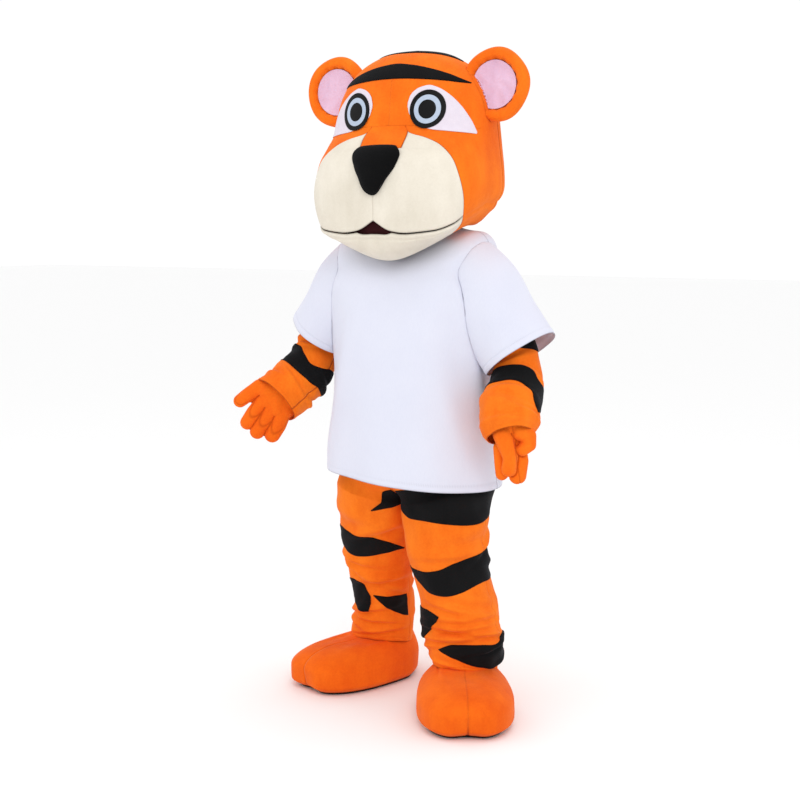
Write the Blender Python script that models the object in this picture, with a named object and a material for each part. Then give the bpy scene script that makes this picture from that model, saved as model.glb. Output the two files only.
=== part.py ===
"""Tiger mascot costume in its worn pose with nobody inside.

Plush head, T-shirt, one-piece suit, gloves and overshoes, each cut piece its own thin-walled solid.
Heights in the tables are above the floor; finished pieces are set down so that the origin lies
between the wearer's shoulders.  The figure faces -Y and its own left hand is on +X.
"""
import math

import bmesh
import bpy
from mathutils import Vector

SHOULDER = 1.43      # height of the wearer's neck base, where the origin sits
GAP = 0.0004         # gap between neighbouring pieces
CLOTH = 0.0015       # plush or knit, single thickness
TRIM = 0.0014        # appliqued felt and plush
HEAD_WALL = 0.007    # plush over thin foam
LIFT = 0.0020        # air under an applique on the head
PATCH_LIFT = 0.0032  # and under the large eye patches, which span the cheek hollow
PI = math.pi
DEG = math.pi / 180.0


class Table:
    """Short table of sizes with named columns, read between its rows along a smooth curve."""

    def __init__(self, columns, *rows):
        self.names = columns.split()
        self.rows = rows

    def at(self, key, name):
        k = self.names.index(name)
        xs = [row[0] for row in self.rows]
        ys = [row[k] for row in self.rows]
        last = len(xs) - 1
        if key <= xs[0]:
            return ys[0]
        if key >= xs[last]:
            return ys[last]
        i = max(j for j in range(last) if xs[j] <= key)

        def chord(j):
            return (ys[j + 1] - ys[j]) / (xs[j + 1] - xs[j])

        def slope(j):
            if j == 0:
                return chord(0)
            if j == last:
                return chord(last - 1)
            a, b = chord(j - 1), chord(j)
            return 0.0 if a * b <= 0 else 2 * a * b / (a + b)

        h = xs[i + 1] - xs[i]
        u = (key - xs[i]) / h
        return (ys[i] * (1 + 2 * u) * (1 - u) ** 2 + ys[i + 1] * u * u * (3 - 2 * u)
                + h * (slope(i) * u * (1 - u) ** 2 - slope(i + 1) * u * u * (1 - u)))

    def first(self):
        return self.rows[0][0]

    def end(self):
        return self.rows[-1][0]


def spread(start, stop, count):
    return [start + (stop - start) * i / (count - 1) for i in range(count)]


def mix(a, b, t):
    return a + (b - a) * t


# ---------------------------------------------------------------- head
# Sections from the crown (row 0) to the neck rim (row 13).
HEAD = Table(
    "row z_front z_side z_back width front back square_front square_back",
    (0, 1.932, 1.932, 1.932, 0.001, 0.001, 0.001, 2.0, 2.0),
    (1, 1.920, 1.922, 1.918, 0.082, 0.070, 0.078, 2.0, 2.0),
    (2, 1.885, 1.892, 1.885, 0.155, 0.118, 0.138, 2.1, 2.0),
    (3, 1.830, 1.836, 1.828, 0.212, 0.150, 0.185, 2.2, 2.0),
    (4, 1.765, 1.765, 1.755, 0.243, 0.160, 0.212, 2.35, 2.0),
    (5, 1.710, 1.700, 1.685, 0.251, 0.168, 0.222, 2.5, 2.0),
    (6, 1.665, 1.650, 1.625, 0.257, 0.202, 0.224, 2.9, 2.0),
    (7, 1.610, 1.600, 1.570, 0.264, 0.240, 0.220, 3.3, 2.0),
    (8, 1.535, 1.545, 1.530, 0.268, 0.255, 0.210, 3.6, 2.0),
    (9, 1.455, 1.494, 1.503, 0.249, 0.255, 0.182, 3.5, 2.0),
    (10, 1.397, 1.461, 1.482, 0.221, 0.246, 0.162, 3.2, 2.0),
    (11, 1.350, 1.438, 1.464, 0.196, 0.220, 0.150, 2.8, 2.0),
    (12, 1.328, 1.428, 1.453, 0.174, 0.168, 0.144, 2.4, 2.0),
    (13, 1.336, 1.436, 1.456, 0.150, 0.115, 0.133, 2.2, 2.0))
# The upper lip dips on both sides of the centre: drop of row 9 at each angle round from the front.
LIP = Table("angle drop", (0, 0.013), (12, 0.043), (24, 0.053), (38, 0.054), (49, 0.044), (60, 0.020),
            (80, 0.0))
# Seam between the orange face and the cream muzzle, as an angle round from the front.
MUZZLE_SEAM = Table("row angle", (5.0, 18.5), (5.35, 21), (5.5, 25), (5.7, 35), (6.1, 44), (6.7, 49),
                    (7.4, 52), (8.3, 55), (9.2, 57), (10.5, 61), (11.5, 61), (13, 58))
BRIDGE = Table("row angle", (5.0, 18.5), (5.35, 21), (6.4, 17.5))
BRIDGE_TOP, BRIDGE_END, MOUTH, SIDE_SEAM = 5.0, 6.4, 9.0, 98.0
HEAD_CORE = Vector((0.0, 0.0, 1.62))


def head(angle, row):
    """Outer face of the head at an angle in degrees round from the front, positive to its left."""
    c, s = math.cos(angle * DEG), math.sin(angle * DEG)
    end = "front" if c >= 0 else "back"
    width = HEAD.at(row, "width")
    depth = HEAD.at(row, end)
    power = HEAD.at(row, "square_" + end)
    radius = (abs(s / width) ** power + abs(c / depth) ** power) ** (-1.0 / power)
    side = HEAD.at(row, "z_side")
    z = side + (HEAD.at(row, "z_" + end) - side) * c * c
    z -= LIP.at(abs(angle), "drop") * math.exp(-((row - MOUTH) / 1.3) ** 2)
    return Vector((radius * s, -radius * c, z))


def head_at(x, z):
    """Angle and row of the front of the head at x and height z, as on a front elevation."""
    angle = math.atan2(x, 0.17) / DEG
    row = min(spread(1.5, 12.0, 43), key=lambda r: abs(head(angle, r).z - z))
    for _ in range(8):
        here = head(angle, row)
        across = (head(angle + 0.05, row) - here) / 0.05
        down = (head(angle, row + 0.001) - here) / 0.001
        det = across.x * down.z - down.x * across.z
        dx, dz = x - here.x, z - here.z
        angle += max(-8.0, min(8.0, (dx * down.z - down.x * dz) / det))
        row += max(-0.5, min(0.5, (across.x * dz - dx * across.z) / det))
    return angle, row


# ---------------------------------------------------------------- T-shirt
SHIRT = Table(
    "row z_front z_side z_back width front back square",
    (0, 1.345, 1.430, 1.440, 0.100, 0.085, 0.085, 2.0),
    (1, 1.322, 1.422, 1.432, 0.128, 0.112, 0.105, 2.0),
    (2, 1.300, 1.414, 1.420, 0.160, 0.137, 0.130, 2.1),
    (3, 1.262, 1.410, 1.398, 0.202, 0.163, 0.157, 2.2),
    (4, 1.200, 1.384, 1.350, 0.236, 0.184, 0.180, 2.3),
    (5, 1.130, 1.306, 1.270, 0.248, 0.198, 0.195, 2.4),
    (6, 1.050, 1.140, 1.135, 0.243, 0.208, 0.205, 2.4),
    (7, 0.950, 0.980, 0.980, 0.244, 0.215, 0.212, 2.4),
    (8, 0.850, 0.860, 0.860, 0.250, 0.222, 0.220, 2.3),
    (9, 0.765, 0.765, 0.765, 0.258, 0.230, 0.228, 2.3),
    (10, 0.685, 0.680, 0.670, 0.266, 0.237, 0.236, 2.2))
HEM_TILT = 0.020     # the hem hangs lower on the figure's left


def shirt(angle, row):
    """Outer face of the shirt body at an angle in degrees round from the front."""
    c, s = math.cos(angle * DEG), math.sin(angle * DEG)
    end = "front" if c >= 0 else "back"
    width, depth, power = SHIRT.at(row, "width"), SHIRT.at(row, end), SHIRT.at(row, "square")
    radius = (abs(s / width) ** power + abs(c / depth) ** power) ** (-1.0 / power)
    side = SHIRT.at(row, "z_side")
    z = side + (SHIRT.at(row, "z_" + end) - side) * c * c
    z -= HEM_TILT * s * max(0.0, (row - 5.0) / 5.0)
    return Vector((radius * s, -radius * c, z))


# Set-in sleeve: rings square to a straight centre line, from inside the armhole to the hem.
SLEEVE_LEFT = Table(
    "row x y z out deep",
    (0, 0.140, -0.010, 1.325, 0.110, 0.108),
    (1, 0.215, -0.014, 1.245, 0.122, 0.112),
    (2, 0.290, -0.016, 1.145, 0.112, 0.118),
    (3, 0.356, -0.018, 1.062, 0.112, 0.124))
SLEEVE_RIGHT = Table(
    "row x y z out deep",
    (0, 0.140, -0.010, 1.325, 0.110, 0.108),
    (1, 0.208, -0.014, 1.250, 0.120, 0.112),
    (2, 0.272, -0.018, 1.165, 0.106, 0.113),
    (3, 0.320, -0.022, 1.094, 0.099, 0.115))
SLEEVES = {1: SLEEVE_LEFT, -1: SLEEVE_RIGHT}


def shirt_sleeve(side, turn, row):
    """Left (+1) or right (-1) sleeve; turn in degrees from the outer top edge towards the front."""
    axis = Vector((0.58, 0.0, -0.815))
    outward = Vector((0.815, 0.0, 0.58))
    table = SLEEVES[side]
    centre = Vector([table.at(row, name) for name in ("x", "y", "z")])
    point = (centre + outward * table.at(row, "out") * math.cos(turn * DEG)
             + Vector((0, -1, 0)) * table.at(row, "deep") * math.sin(turn * DEG))
    return Vector((side * point.x, point.y, point.z)), axis


# ---------------------------------------------------------------- suit
TORSO = Table(
    "row z_mid z_side width front back",
    (0, 1.330, 1.405, 0.088, 0.075, 0.080),
    (1, 1.290, 1.388, 0.130, 0.115, 0.115),
    (2, 1.230, 1.350, 0.185, 0.150, 0.150),
    (3, 1.130, 1.270, 0.205, 0.172, 0.172),
    (4, 0.980, 1.080, 0.206, 0.182, 0.182),
    (5, 0.840, 0.880, 0.212, 0.188, 0.192),
    (6, 0.672, 0.725, 0.232, 0.180, 0.190))
LEG_LEFT = Table(
    "row z_in z x_in x_out y_in y_out front back",
    (7, 0.606, 0.655, 0.0, 0.242, 0.000, -0.012, 0.158, 0.160),
    (8, 0.576, 0.605, 0.003, 0.247, -0.012, -0.028, 0.148, 0.140),
    (9, 0.535, 0.545, 0.006, 0.247, -0.030, -0.040, 0.138, 0.130),
    (10, 0.480, 0.480, 0.008, 0.243, -0.042, -0.042, 0.127, 0.124),
    (11, 0.405, 0.405, 0.022, 0.250, -0.036, -0.036, 0.116, 0.116),
    (12, 0.315, 0.315, 0.042, 0.272, -0.026, -0.026, 0.114, 0.114),
    (13, 0.240, 0.240, 0.050, 0.284, -0.020, -0.020, 0.116, 0.116),
    (14, 0.190, 0.190, 0.058, 0.291, -0.020, -0.020, 0.115, 0.115),
    (15, 0.140, 0.140, 0.076, 0.283, -0.023, -0.023, 0.103, 0.103),
    (16, 0.114, 0.114, 0.082, 0.270, -0.027, -0.027, 0.094, 0.094))
LEG_RIGHT = Table(
    "row z_in z x_in x_out y_in y_out front back",
    (7, 0.606, 0.655, 0.0, 0.246, 0.000, 0.000, 0.158, 0.160),
    (8, 0.576, 0.605, 0.003, 0.256, 0.002, 0.002, 0.145, 0.142),
    (9, 0.535, 0.545, 0.006, 0.262, 0.010, 0.010, 0.130, 0.132),
    (10, 0.480, 0.480, 0.026, 0.265, 0.026, 0.026, 0.120, 0.120),
    (11, 0.405, 0.405, 0.050, 0.268, 0.048, 0.048, 0.109, 0.109),
    (12, 0.315, 0.315, 0.068, 0.257, 0.074, 0.074, 0.101, 0.101),
    (13, 0.240, 0.240, 0.078, 0.265, 0.094, 0.094, 0.098, 0.098),
    (14, 0.190, 0.190, 0.083, 0.276, 0.105, 0.105, 0.098, 0.098),
    (15, 0.140, 0.140, 0.092, 0.288, 0.114, 0.114, 0.098, 0.098),
    (16, 0.114, 0.114, 0.097, 0.284, 0.116, 0.116, 0.094, 0.094))
LEGS = {1: LEG_LEFT, -1: LEG_RIGHT}


def suit(side, turn, row):
    """Outer face of the suit.  turn runs 0 inseam, 90 front, 180 outside, 270 back, 360 inseam."""
    front = turn <= 180.0
    across = (turn if front else 360.0 - turn) * DEG
    c, s = math.cos(across), math.sin(across)
    near, far = (1 + c) / 2, (1 - c) / 2

    def torso(r):
        width = TORSO.at(r, "width")
        depth = -TORSO.at(r, "front") if front else TORSO.at(r, "back")
        x = width * math.sin(across / 2)
        y = depth * math.cos(across / 2)
        low, high = TORSO.at(r, "z_mid"), TORSO.at(r, "z_side")
        if not front:
            low = mix(low, high, 0.7)
        return Vector((x, y, mix(low, high, math.sin(across / 2) ** 2)))

    def leg(r):
        table = LEGS[side]
        x = table.at(r, "x_in") * near + table.at(r, "x_out") * far
        y = table.at(r, "y_in") * near + table.at(r, "y_out") * far
        y += -table.at(r, "front") * s if front else table.at(r, "back") * s
        return Vector((x, y, table.at(r, "z_in") * near + table.at(r, "z") * far))

    if row <= 6.0:
        point = torso(row)
    elif row >= 7.0:
        point = leg(row)
    else:
        point = torso(6.0).lerp(leg(7.0), row - 6.0)
    return Vector((side * point.x, point.y, point.z))


def leg_row(side, z):
    """Row of a leg at a height."""
    low, high = 7.0, 16.0
    for _ in range(30):
        middle = (low + high) / 2
        if LEGS[side].at(middle, "z") > z:
            low = middle
        else:
            high = middle
    return low


ARM_LEFT = Table(
    "row x y z radius",
    (0, 0.120, -0.008, 1.285, 0.074),
    (1, 0.205, -0.012, 1.225, 0.080),
    (2, 0.290, -0.016, 1.132, 0.072),
    (3, 0.338, -0.020, 1.050, 0.066),
    (4, 0.355, -0.058, 0.965, 0.078),
    (5, 0.360, -0.105, 0.915, 0.086),
    (6, 0.376, -0.134, 0.850, 0.082))
ARM_RIGHT = Table(
    "row x y z radius",
    (0, 0.120, -0.008, 1.285, 0.074),
    (1, 0.205, -0.012, 1.225, 0.080),
    (2, 0.276, -0.018, 1.142, 0.072),
    (3, 0.324, -0.028, 1.064, 0.066),
    (4, 0.345, -0.072, 0.985, 0.076),
    (5, 0.370, -0.118, 0.940, 0.081),
    (6, 0.398, -0.170, 0.898, 0.080))
ARMS = {1: ARM_LEFT, -1: ARM_RIGHT}


def arm_centre(side, row):
    table = ARMS[side]
    return Vector((side * table.at(row, "x"), table.at(row, "y"), table.at(row, "z")))


def arm(side, turn, row):
    """Suit sleeve; turn in degrees from the outside of the arm towards the front."""
    centre = arm_centre(side, row)
    low, high = max(0.0, row - 0.35), min(6.0, row + 0.35)
    axis = (arm_centre(side, high) - arm_centre(side, low)).normalized()
    outward = Vector((side, 0.0, 0.0))
    outward = (outward - axis * outward.dot(axis)).normalized()
    forward = outward.cross(axis) * side
    if forward.y > 0:
        forward = -forward
    radius = ARMS[side].at(row, "radius")
    return centre + (outward * math.cos(turn * DEG) + forward * math.sin(turn * DEG)) * radius


# ---------------------------------------------------------------- overshoes
FOOT = Table(
    "row z toe heel half taper notch",
    (0, 0.0085, 0.306, 0.094, 0.114, 0.34, 0.014),
    (1, 0.0280, 0.328, 0.104, 0.128, 0.34, 0.012),
    (2, 0.0620, 0.330, 0.106, 0.129, 0.32, 0.008),
    (3, 0.0900, 0.296, 0.101, 0.114, 0.27, 0.004),
    (4, 0.1020, 0.228, 0.095, 0.096, 0.17, 0.002),
    (5, 0.1060, 0.146, 0.088, 0.088, 0.06, 0.0),
    (6, 0.1090, 0.086, 0.080, 0.079, 0.0, 0.0),
    (7, 0.1350, 0.076, 0.074, 0.072, 0.0, 0.0),
    (8, 0.1650, 0.074, 0.072, 0.070, 0.0, 0.0))
STANCE = Table("side x y splay", (-1, -0.190, 0.116, -14.0), (1, 0.176, -0.027, 30.0))


def foot(side, turn, row):
    """Overshoe; turn in degrees from the toe, positive towards the figure's left."""
    c, s = math.cos(turn * DEG), math.sin(turn * DEG)
    reach = FOOT.at(row, "toe") if c >= 0 else FOOT.at(row, "heel")
    wrapped = (turn + 180.0) % 360.0 - 180.0
    c, s = math.copysign(abs(c) ** 0.82, c), math.copysign(abs(s) ** 0.82, s)
    along = reach * c - FOOT.at(row, "notch") * math.exp(-(wrapped / 11.0) ** 2)
    across = FOOT.at(row, "half") * (1 + FOOT.at(row, "taper") * c) * s
    splay = STANCE.at(side, "splay") * DEG
    x = STANCE.at(side, "x") + along * math.sin(splay) + across * math.cos(splay)
    y = STANCE.at(side, "y") - along * math.cos(splay) + across * math.sin(splay)
    return Vector((x, y, FOOT.at(row, "z")))


# ---- pieces
SHADES = {
    "plush_orange": (0.90, 0.23, 0.02), "plush_black": (0.012, 0.012, 0.013),
    "plush_cream": (0.80, 0.74, 0.62), "mouth_cloth": (0.06, 0.01, 0.012),
    "felt_white": (0.82, 0.78, 0.86), "felt_blue_grey": (0.52, 0.62, 0.74),
    "plush_pink": (0.78, 0.52, 0.68), "knit_white": (0.84, 0.85, 0.90),
    "sole_dark": (0.05, 0.035, 0.03)}


def cloth(name):
    found = bpy.data.materials.get(name)
    if found:
        return found
    made = bpy.data.materials.new(name)
    made.use_nodes = True
    shader = made.node_tree.nodes["Principled BSDF"]
    shader.inputs["Base Color"].default_value = SHADES[name] + (1.0,)
    shader.inputs["Roughness"].default_value = 0.9
    made.diffuse_color = SHADES[name] + (1.0,)
    return made


def add(name, points, faces, material):
    """One mesh object; a closed mesh is turned right way out by its own volume."""
    volume = 0.0
    for face in faces:
        for k in range(1, len(face) - 1):
            volume += points[face[0]].dot(points[face[k]].cross(points[face[k + 1]]))
    if volume < 0:
        faces = [tuple(reversed(face)) for face in faces]
    mesh = bpy.data.meshes.new(name)
    mesh.from_pydata([p - Vector((0, 0, SHOULDER)) for p in points], [], faces)
    form = bmesh.new()
    form.from_mesh(mesh)
    bmesh.ops.triangulate(form, faces=form.faces)
    form.to_mesh(mesh)
    form.free()
    mesh.update()
    mesh.polygons.foreach_set("use_smooth", [True] * len(mesh.polygons))
    piece = bpy.data.objects.new(name, mesh)
    bpy.context.scene.collection.objects.link(piece)
    if material:
        mesh.materials.append(cloth(material))
    return piece


def normals_of(surface, grid_keys, core):
    """Outward unit normals of a surface at a grid of its own coordinates."""
    result, vote = [], 0.0
    for line in grid_keys:
        out = []
        for u, v in line:
            here = surface(u, v)
            du = surface(u + 0.4, v) - surface(u - 0.4, v)
            dv = surface(u, v + 0.01) - surface(u, v - 0.01)
            normal = du.cross(dv)
            if normal.length < 1e-12:
                normal = here - core(here)
            normal = normal.normalized()
            vote += normal.dot(here - core(here))
            out.append(normal)
        result.append(out)
    if vote < 0:
        result = [[-n for n in line] for line in result]
    return result


def shell(name, material, surface, keys, low, high, core, ring=False, trim=GAP / 2):
    """A cloth piece on a surface: the grid of coordinates, thickened from low to high above it."""
    points = [[surface(u, v) for u, v in line] for line in keys]
    normals = normals_of(surface, keys, core)
    rows, cols = len(points), len(points[0])

    def shrink(r, c, toward_r, toward_c):
        step = points[toward_r][toward_c] - points[r][c]
        if step.length > 4 * trim:
            moved[r][c] = moved[r][c] + step.normalized() * trim

    moved = [list(line) for line in points]
    if trim:
        for c in range(cols):
            shrink(0, c, 1, c)
            shrink(rows - 1, c, rows - 2, c)
        if not ring:
            for r in range(rows):
                shrink(r, 0, r, 1)
                shrink(r, cols - 1, r, cols - 2)
    outer = [moved[r][c] + normals[r][c] * high for r in range(rows) for c in range(cols)]
    inner = [moved[r][c] + normals[r][c] * low for r in range(rows) for c in range(cols)]
    total = rows * cols
    faces = []
    span = cols if ring else cols - 1
    for r in range(rows - 1):
        for c in range(span):
            a, b = r * cols + c, r * cols + (c + 1) % cols
            d, e = b + cols, a + cols
            faces.append((a, b, d, e))
            faces.append((total + e, total + d, total + b, total + a))
    for c in range(span):
        a, b = c, (c + 1) % cols
        faces.append((a, total + a, total + b, b))
        a, b = a + (rows - 1) * cols, b + (rows - 1) * cols
        faces.append((b, total + b, total + a, a))
    if not ring:
        for r in range(rows - 1):
            a, b = r * cols, (r + 1) * cols
            faces.append((b, total + b, total + a, a))
            a, b = a + cols - 1, b + cols - 1
            faces.append((a, total + a, total + b, b))
    return add(name, outer + inner, faces, material)


def filled(name, rings):
    """A closed volume through rings, used only as a cutting tool."""
    count = len(rings[0])
    points = [p for ring in rings for p in ring]
    faces = []
    for r in range(len(rings) - 1):
        for c in range(count):
            a, b = r * count + c, r * count + (c + 1) % count
            faces.append((a, b, b + count, a + count))
    faces.append(tuple(range(count - 1, -1, -1)))
    faces.append(tuple(range(len(points) - count, len(points))))
    tool = add(name, points, faces, None)
    tool.hide_render = True
    tool.display_type = "WIRE"
    return tool


def cut(piece, tool):
    boolean = piece.modifiers.new("cut_" + tool.name, "BOOLEAN")
    boolean.operation = "DIFFERENCE"
    boolean.solver = "EXACT"
    boolean.object = tool


def patch_keys(locate, table, columns, rows):
    """Grid over a patch drawn as a table of stations with a top and a bottom."""
    keys = []
    for v in spread(0.0, 1.0, rows):
        line = []
        for station in spread(table.first(), table.end(), columns):
            height = mix(table.at(station, "top"), table.at(station, "bottom"), v)
            line.append(locate(station, height))
        keys.append(line)
    return keys


def inlay(name, material, surface, core, grid, outline, low, ring=False, outline_ring=False):
    """Cloth laid on a panel: the panel's own grid moved out, kept only inside a drawn outline."""
    piece = shell(name, material, surface, grid, low, low + TRIM, core, ring=ring, trim=0)
    block = shell(name + "_outline", None, surface, outline, -0.012, 0.016, core, ring=outline_ring, trim=0)
    block.hide_render = True
    block.display_type = "WIRE"
    boolean = piece.modifiers.new("keep", "BOOLEAN")
    boolean.operation = "INTERSECT"
    boolean.solver = "EXACT"
    boolean.object = block
    return piece


for existing in list(bpy.data.objects):
    bpy.data.objects.remove(existing)


# Head shell: two face panels, two back panels, cream muzzle halves, jaw, bridge, mouth cloth.
def head_core(point):
    return HEAD_CORE


HEAD_ROWS = [0.12, 1.0, 2.0, 3.0, 4.1, BRIDGE_TOP, BRIDGE_TOP + 0.02, 5.7, BRIDGE_END,
             7.3, 8.2, MOUTH, 10.0, 11.0, 12.0, 13.0]


def seam_angle(row):
    return 0.0 if row <= BRIDGE_TOP else MUZZLE_SEAM.at(row, "angle")


for side, tag in ((1, "l"), (-1, "r")):
    keys = [[(side * mix(seam_angle(row), SIDE_SEAM, u), row) for u in spread(0, 1, 6)] for row in HEAD_ROWS]
    shell("head_face_" + tag, "plush_orange", head, keys, -HEAD_WALL, 0.0, head_core)
    keys = [[(side * mix(SIDE_SEAM, 180.0, u), row) for u in spread(0, 1, 5)] for row in HEAD_ROWS]
    shell("head_back_" + tag, "plush_orange", head, keys, -HEAD_WALL, 0.0, head_core)
    keys = []
    for row in [r for r in HEAD_ROWS if 5.3 < r <= BRIDGE_END] + [BRIDGE_END + 0.02] + [
            r for r in HEAD_ROWS if BRIDGE_END < r <= MOUTH]:
        inner = BRIDGE.at(row, "angle") if row <= BRIDGE_END else 0.0
        keys.append([(side * mix(inner, seam_angle(row), u), row) for u in spread(0, 1, 6)])
    shell("muzzle_" + tag, "plush_cream", head, keys, -HEAD_WALL, 0.0, head_core)

keys = [[(BRIDGE.at(row, "angle") * u, row) for u in spread(-1, 1, 6)]
        for row in HEAD_ROWS if BRIDGE_TOP < row <= BRIDGE_END]
shell("snout_bridge", "plush_orange", head, keys, -HEAD_WALL, 0.0, head_core)


def jaw(angle, row):
    """The jaw stands a little behind the upper lip and meets the face flush at its sides."""
    point = head(angle, row)
    back = 0.009 * max(0.0, 1 - (abs(angle) / 57.0) ** 2) * max(0.0, 1 - (row - MOUTH) / 3.0)
    flat = Vector((point.x, point.y, 0.0))
    return point - flat.normalized() * back


keys = []
for row in [r for r in HEAD_ROWS if r >= MOUTH]:
    line = []
    for u in spread(-1, 1, 11):
        angle = seam_angle(row) * u
        opening = 0.62 * max(0.0, 1 - abs(angle) / 13.0) + (0.05 if abs(u) < 0.99 else 0.0)
        line.append((angle, row + opening * (13.0 - row) / (13.0 - MOUTH)))
    keys.append(line)
shell("jaw", "plush_cream", jaw, keys, -HEAD_WALL, 0.0, head_core)

keys = [[(angle, row) for angle in spread(-21, 21, 7)] for row in spread(8.55, 10.3, 3)]
shell("mouth_cloth", "mouth_cloth", head, keys, -0.0195, -0.0180, head_core)

# Nose: a stuffed rounded triangle standing on the muzzle, drawn on the front elevation.
NOSE = Table("down z half rise", (0.0, 1.653, 0.040, 0.005), (0.1, 1.642, 0.062, 0.013), (0.28, 1.620, 0.075, 0.018),
             (0.5, 1.590, 0.066, 0.021), (0.72, 1.556, 0.042, 0.021), (0.9, 1.526, 0.023, 0.017),
             (1.0, 1.512, 0.012, 0.012))
nose_key = {}
for r, down in enumerate((0.0, 0.06, 0.16, 0.3, 0.45, 0.6, 0.75, 0.88, 0.96, 1.0)):
    for c, u in enumerate((-1.0, -0.93, -0.75, -0.4, 0.0, 0.4, 0.75, 0.93, 1.0)):
        nose_key[r, c] = (head_at(NOSE.at(down, "half") * u, NOSE.at(down, "z")), down, u)
keys = [[nose_key[r, c][0] for c in range(9)] for r in range(10)]
nose_normals = normals_of(head, keys, head_core)
low, high = [], []
for r in range(10):
    for c in range(9):
        (angle, row), down, u = nose_key[r, c]
        edge = math.sqrt(max(0.0, 1 - u ** 4)) * math.sqrt(max(0.0, 1 - abs(2 * down - 1) ** 6))
        base = head(angle, row)
        low.append(base + nose_normals[r][c] * 0.0008)
        high.append(base + nose_normals[r][c] * (0.004 + NOSE.at(down, "rise") * edge))
faces = []
for r in range(9):
    for c in range(8):
        a = r * 9 + c
        faces.append((a, a + 1, a + 10, a + 9))
        faces.append((a + 99, a + 100, a + 91, a + 90))
for c in range(8):
    faces.append((c, c + 90, c + 91, c + 1))
    faces.append((c + 82, c + 172, c + 171, c + 81)[::1])
for r in range(9):
    faces.append((r * 9 + 9, r * 9 + 99, r * 9 + 90, r * 9))
    faces.append((r * 9 + 8, r * 9 + 98, r * 9 + 107, r * 9 + 17))
add("nose", high + low, faces, "plush_black")

# Eyes: white felt shape, then black, blue-grey and black rings set in one another on top.
EYE_WHITE = Table(
    "x top bottom", (0.058, 1.772, 1.762), (0.064, 1.792, 1.742), (0.076, 1.806, 1.726), (0.092, 1.815, 1.712),
    (0.115, 1.820, 1.700), (0.141, 1.812, 1.694), (0.170, 1.793, 1.691), (0.200, 1.762, 1.688),
    (0.222, 1.726, 1.686), (0.238, 1.688, 1.684))
BROW = Table(
    "x top bottom", (-0.206, 1.829, 1.8265), (-0.190, 1.837, 1.8275), (-0.155, 1.853, 1.832), (-0.096, 1.871, 1.837),
    (-0.047, 1.881, 1.840), (0.0, 1.886, 1.841), (0.047, 1.881, 1.840), (0.096, 1.871, 1.837),
    (0.155, 1.853, 1.832), (0.190, 1.837, 1.8275), (0.206, 1.829, 1.8265))
EYE_X, EYE_Z, EYE_WIDE, EYE_HIGH = 0.116, 1.752, 0.050, 0.0545
for side, tag in ((1, "l"), (-1, "r")):
    keys = patch_keys(lambda x, z: head_at(side * x, z), EYE_WHITE, 11, 5)
    shell("eye_white_" + tag, "felt_white", head, keys, PATCH_LIFT, PATCH_LIFT + TRIM, head_core, trim=0)
    base = PATCH_LIFT + TRIM + LIFT
    for name, material, inside, outside in (("eye_ring", "plush_black", 0.74, 1.0),
                                            ("eye_iris", "felt_blue_grey", 0.50, 0.73)):
        keys = [[head_at(side * (EYE_X + EYE_WIDE * k * math.cos(t)), EYE_Z + EYE_HIGH * k * math.sin(t))
                 for t in spread(0, 2 * PI * 15 / 16, 16)] for k in (inside, outside)]
        shell(name + "_" + tag, material, head, keys, base, base + TRIM, head_core, ring=True, trim=0)
    keys = []
    for v in spread(-1, 1, 5):
        line = []
        for u in spread(-1, 1, 5):
            across = u * math.sqrt(1 - v * v / 2)
            up = v * math.sqrt(1 - u * u / 2)
            line.append(head_at(side * (EYE_X + EYE_WIDE * 0.485 * across), EYE_Z + EYE_HIGH * 0.485 * up))
        keys.append(line)
    shell("eye_pupil_" + tag, "plush_black", head, keys, base, base + TRIM, head_core, trim=0)
shell("brow_stripe", "plush_black", head, patch_keys(head_at, BROW, 17, 3), LIFT, LIFT + TRIM, head_core, trim=0)

# The crown stripe is drawn in plan: x across, front and back edges as distances behind the face.
CROWN = Table("x top bottom", (-0.150, 0.006, -0.003), (-0.110, 0.014, -0.034), (-0.055, 0.022, -0.062),
              (0.0, 0.026, -0.072), (0.055, 0.022, -0.062), (0.110, 0.014, -0.034), (0.150, 0.006, -0.003))


def crown_at(x, y):
    """Angle and row of the top of the head over a plan position."""
    angle = math.atan2(x, -y) / DEG
    reach = math.hypot(x, y)
    low, high = 0.05, 4.0
    for _ in range(40):
        middle = (low + high) / 2
        point = head(angle, middle)
        if math.hypot(point.x, point.y) < reach:
            low = middle
        else:
            high = middle
    return angle, low


def crown(x, y):
    angle, row = crown_at(x, y / 1.0)
    return head(angle, row)


def crown_plan(u, v):
    return crown(u / 1000.0, v / 10.0)


keys = []
for v in spread(0.0, 1.0, 4):
    keys.append([(x * 1000.0, 10.0 * mix(CROWN.at(x, "top"), CROWN.at(x, "bottom"), v))
                 for x in spread(-0.150, 0.150, 13)])
shell("crown_stripe", "plush_black", crown_plan, keys, LIFT, LIFT + TRIM, head_core, trim=0)

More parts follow.
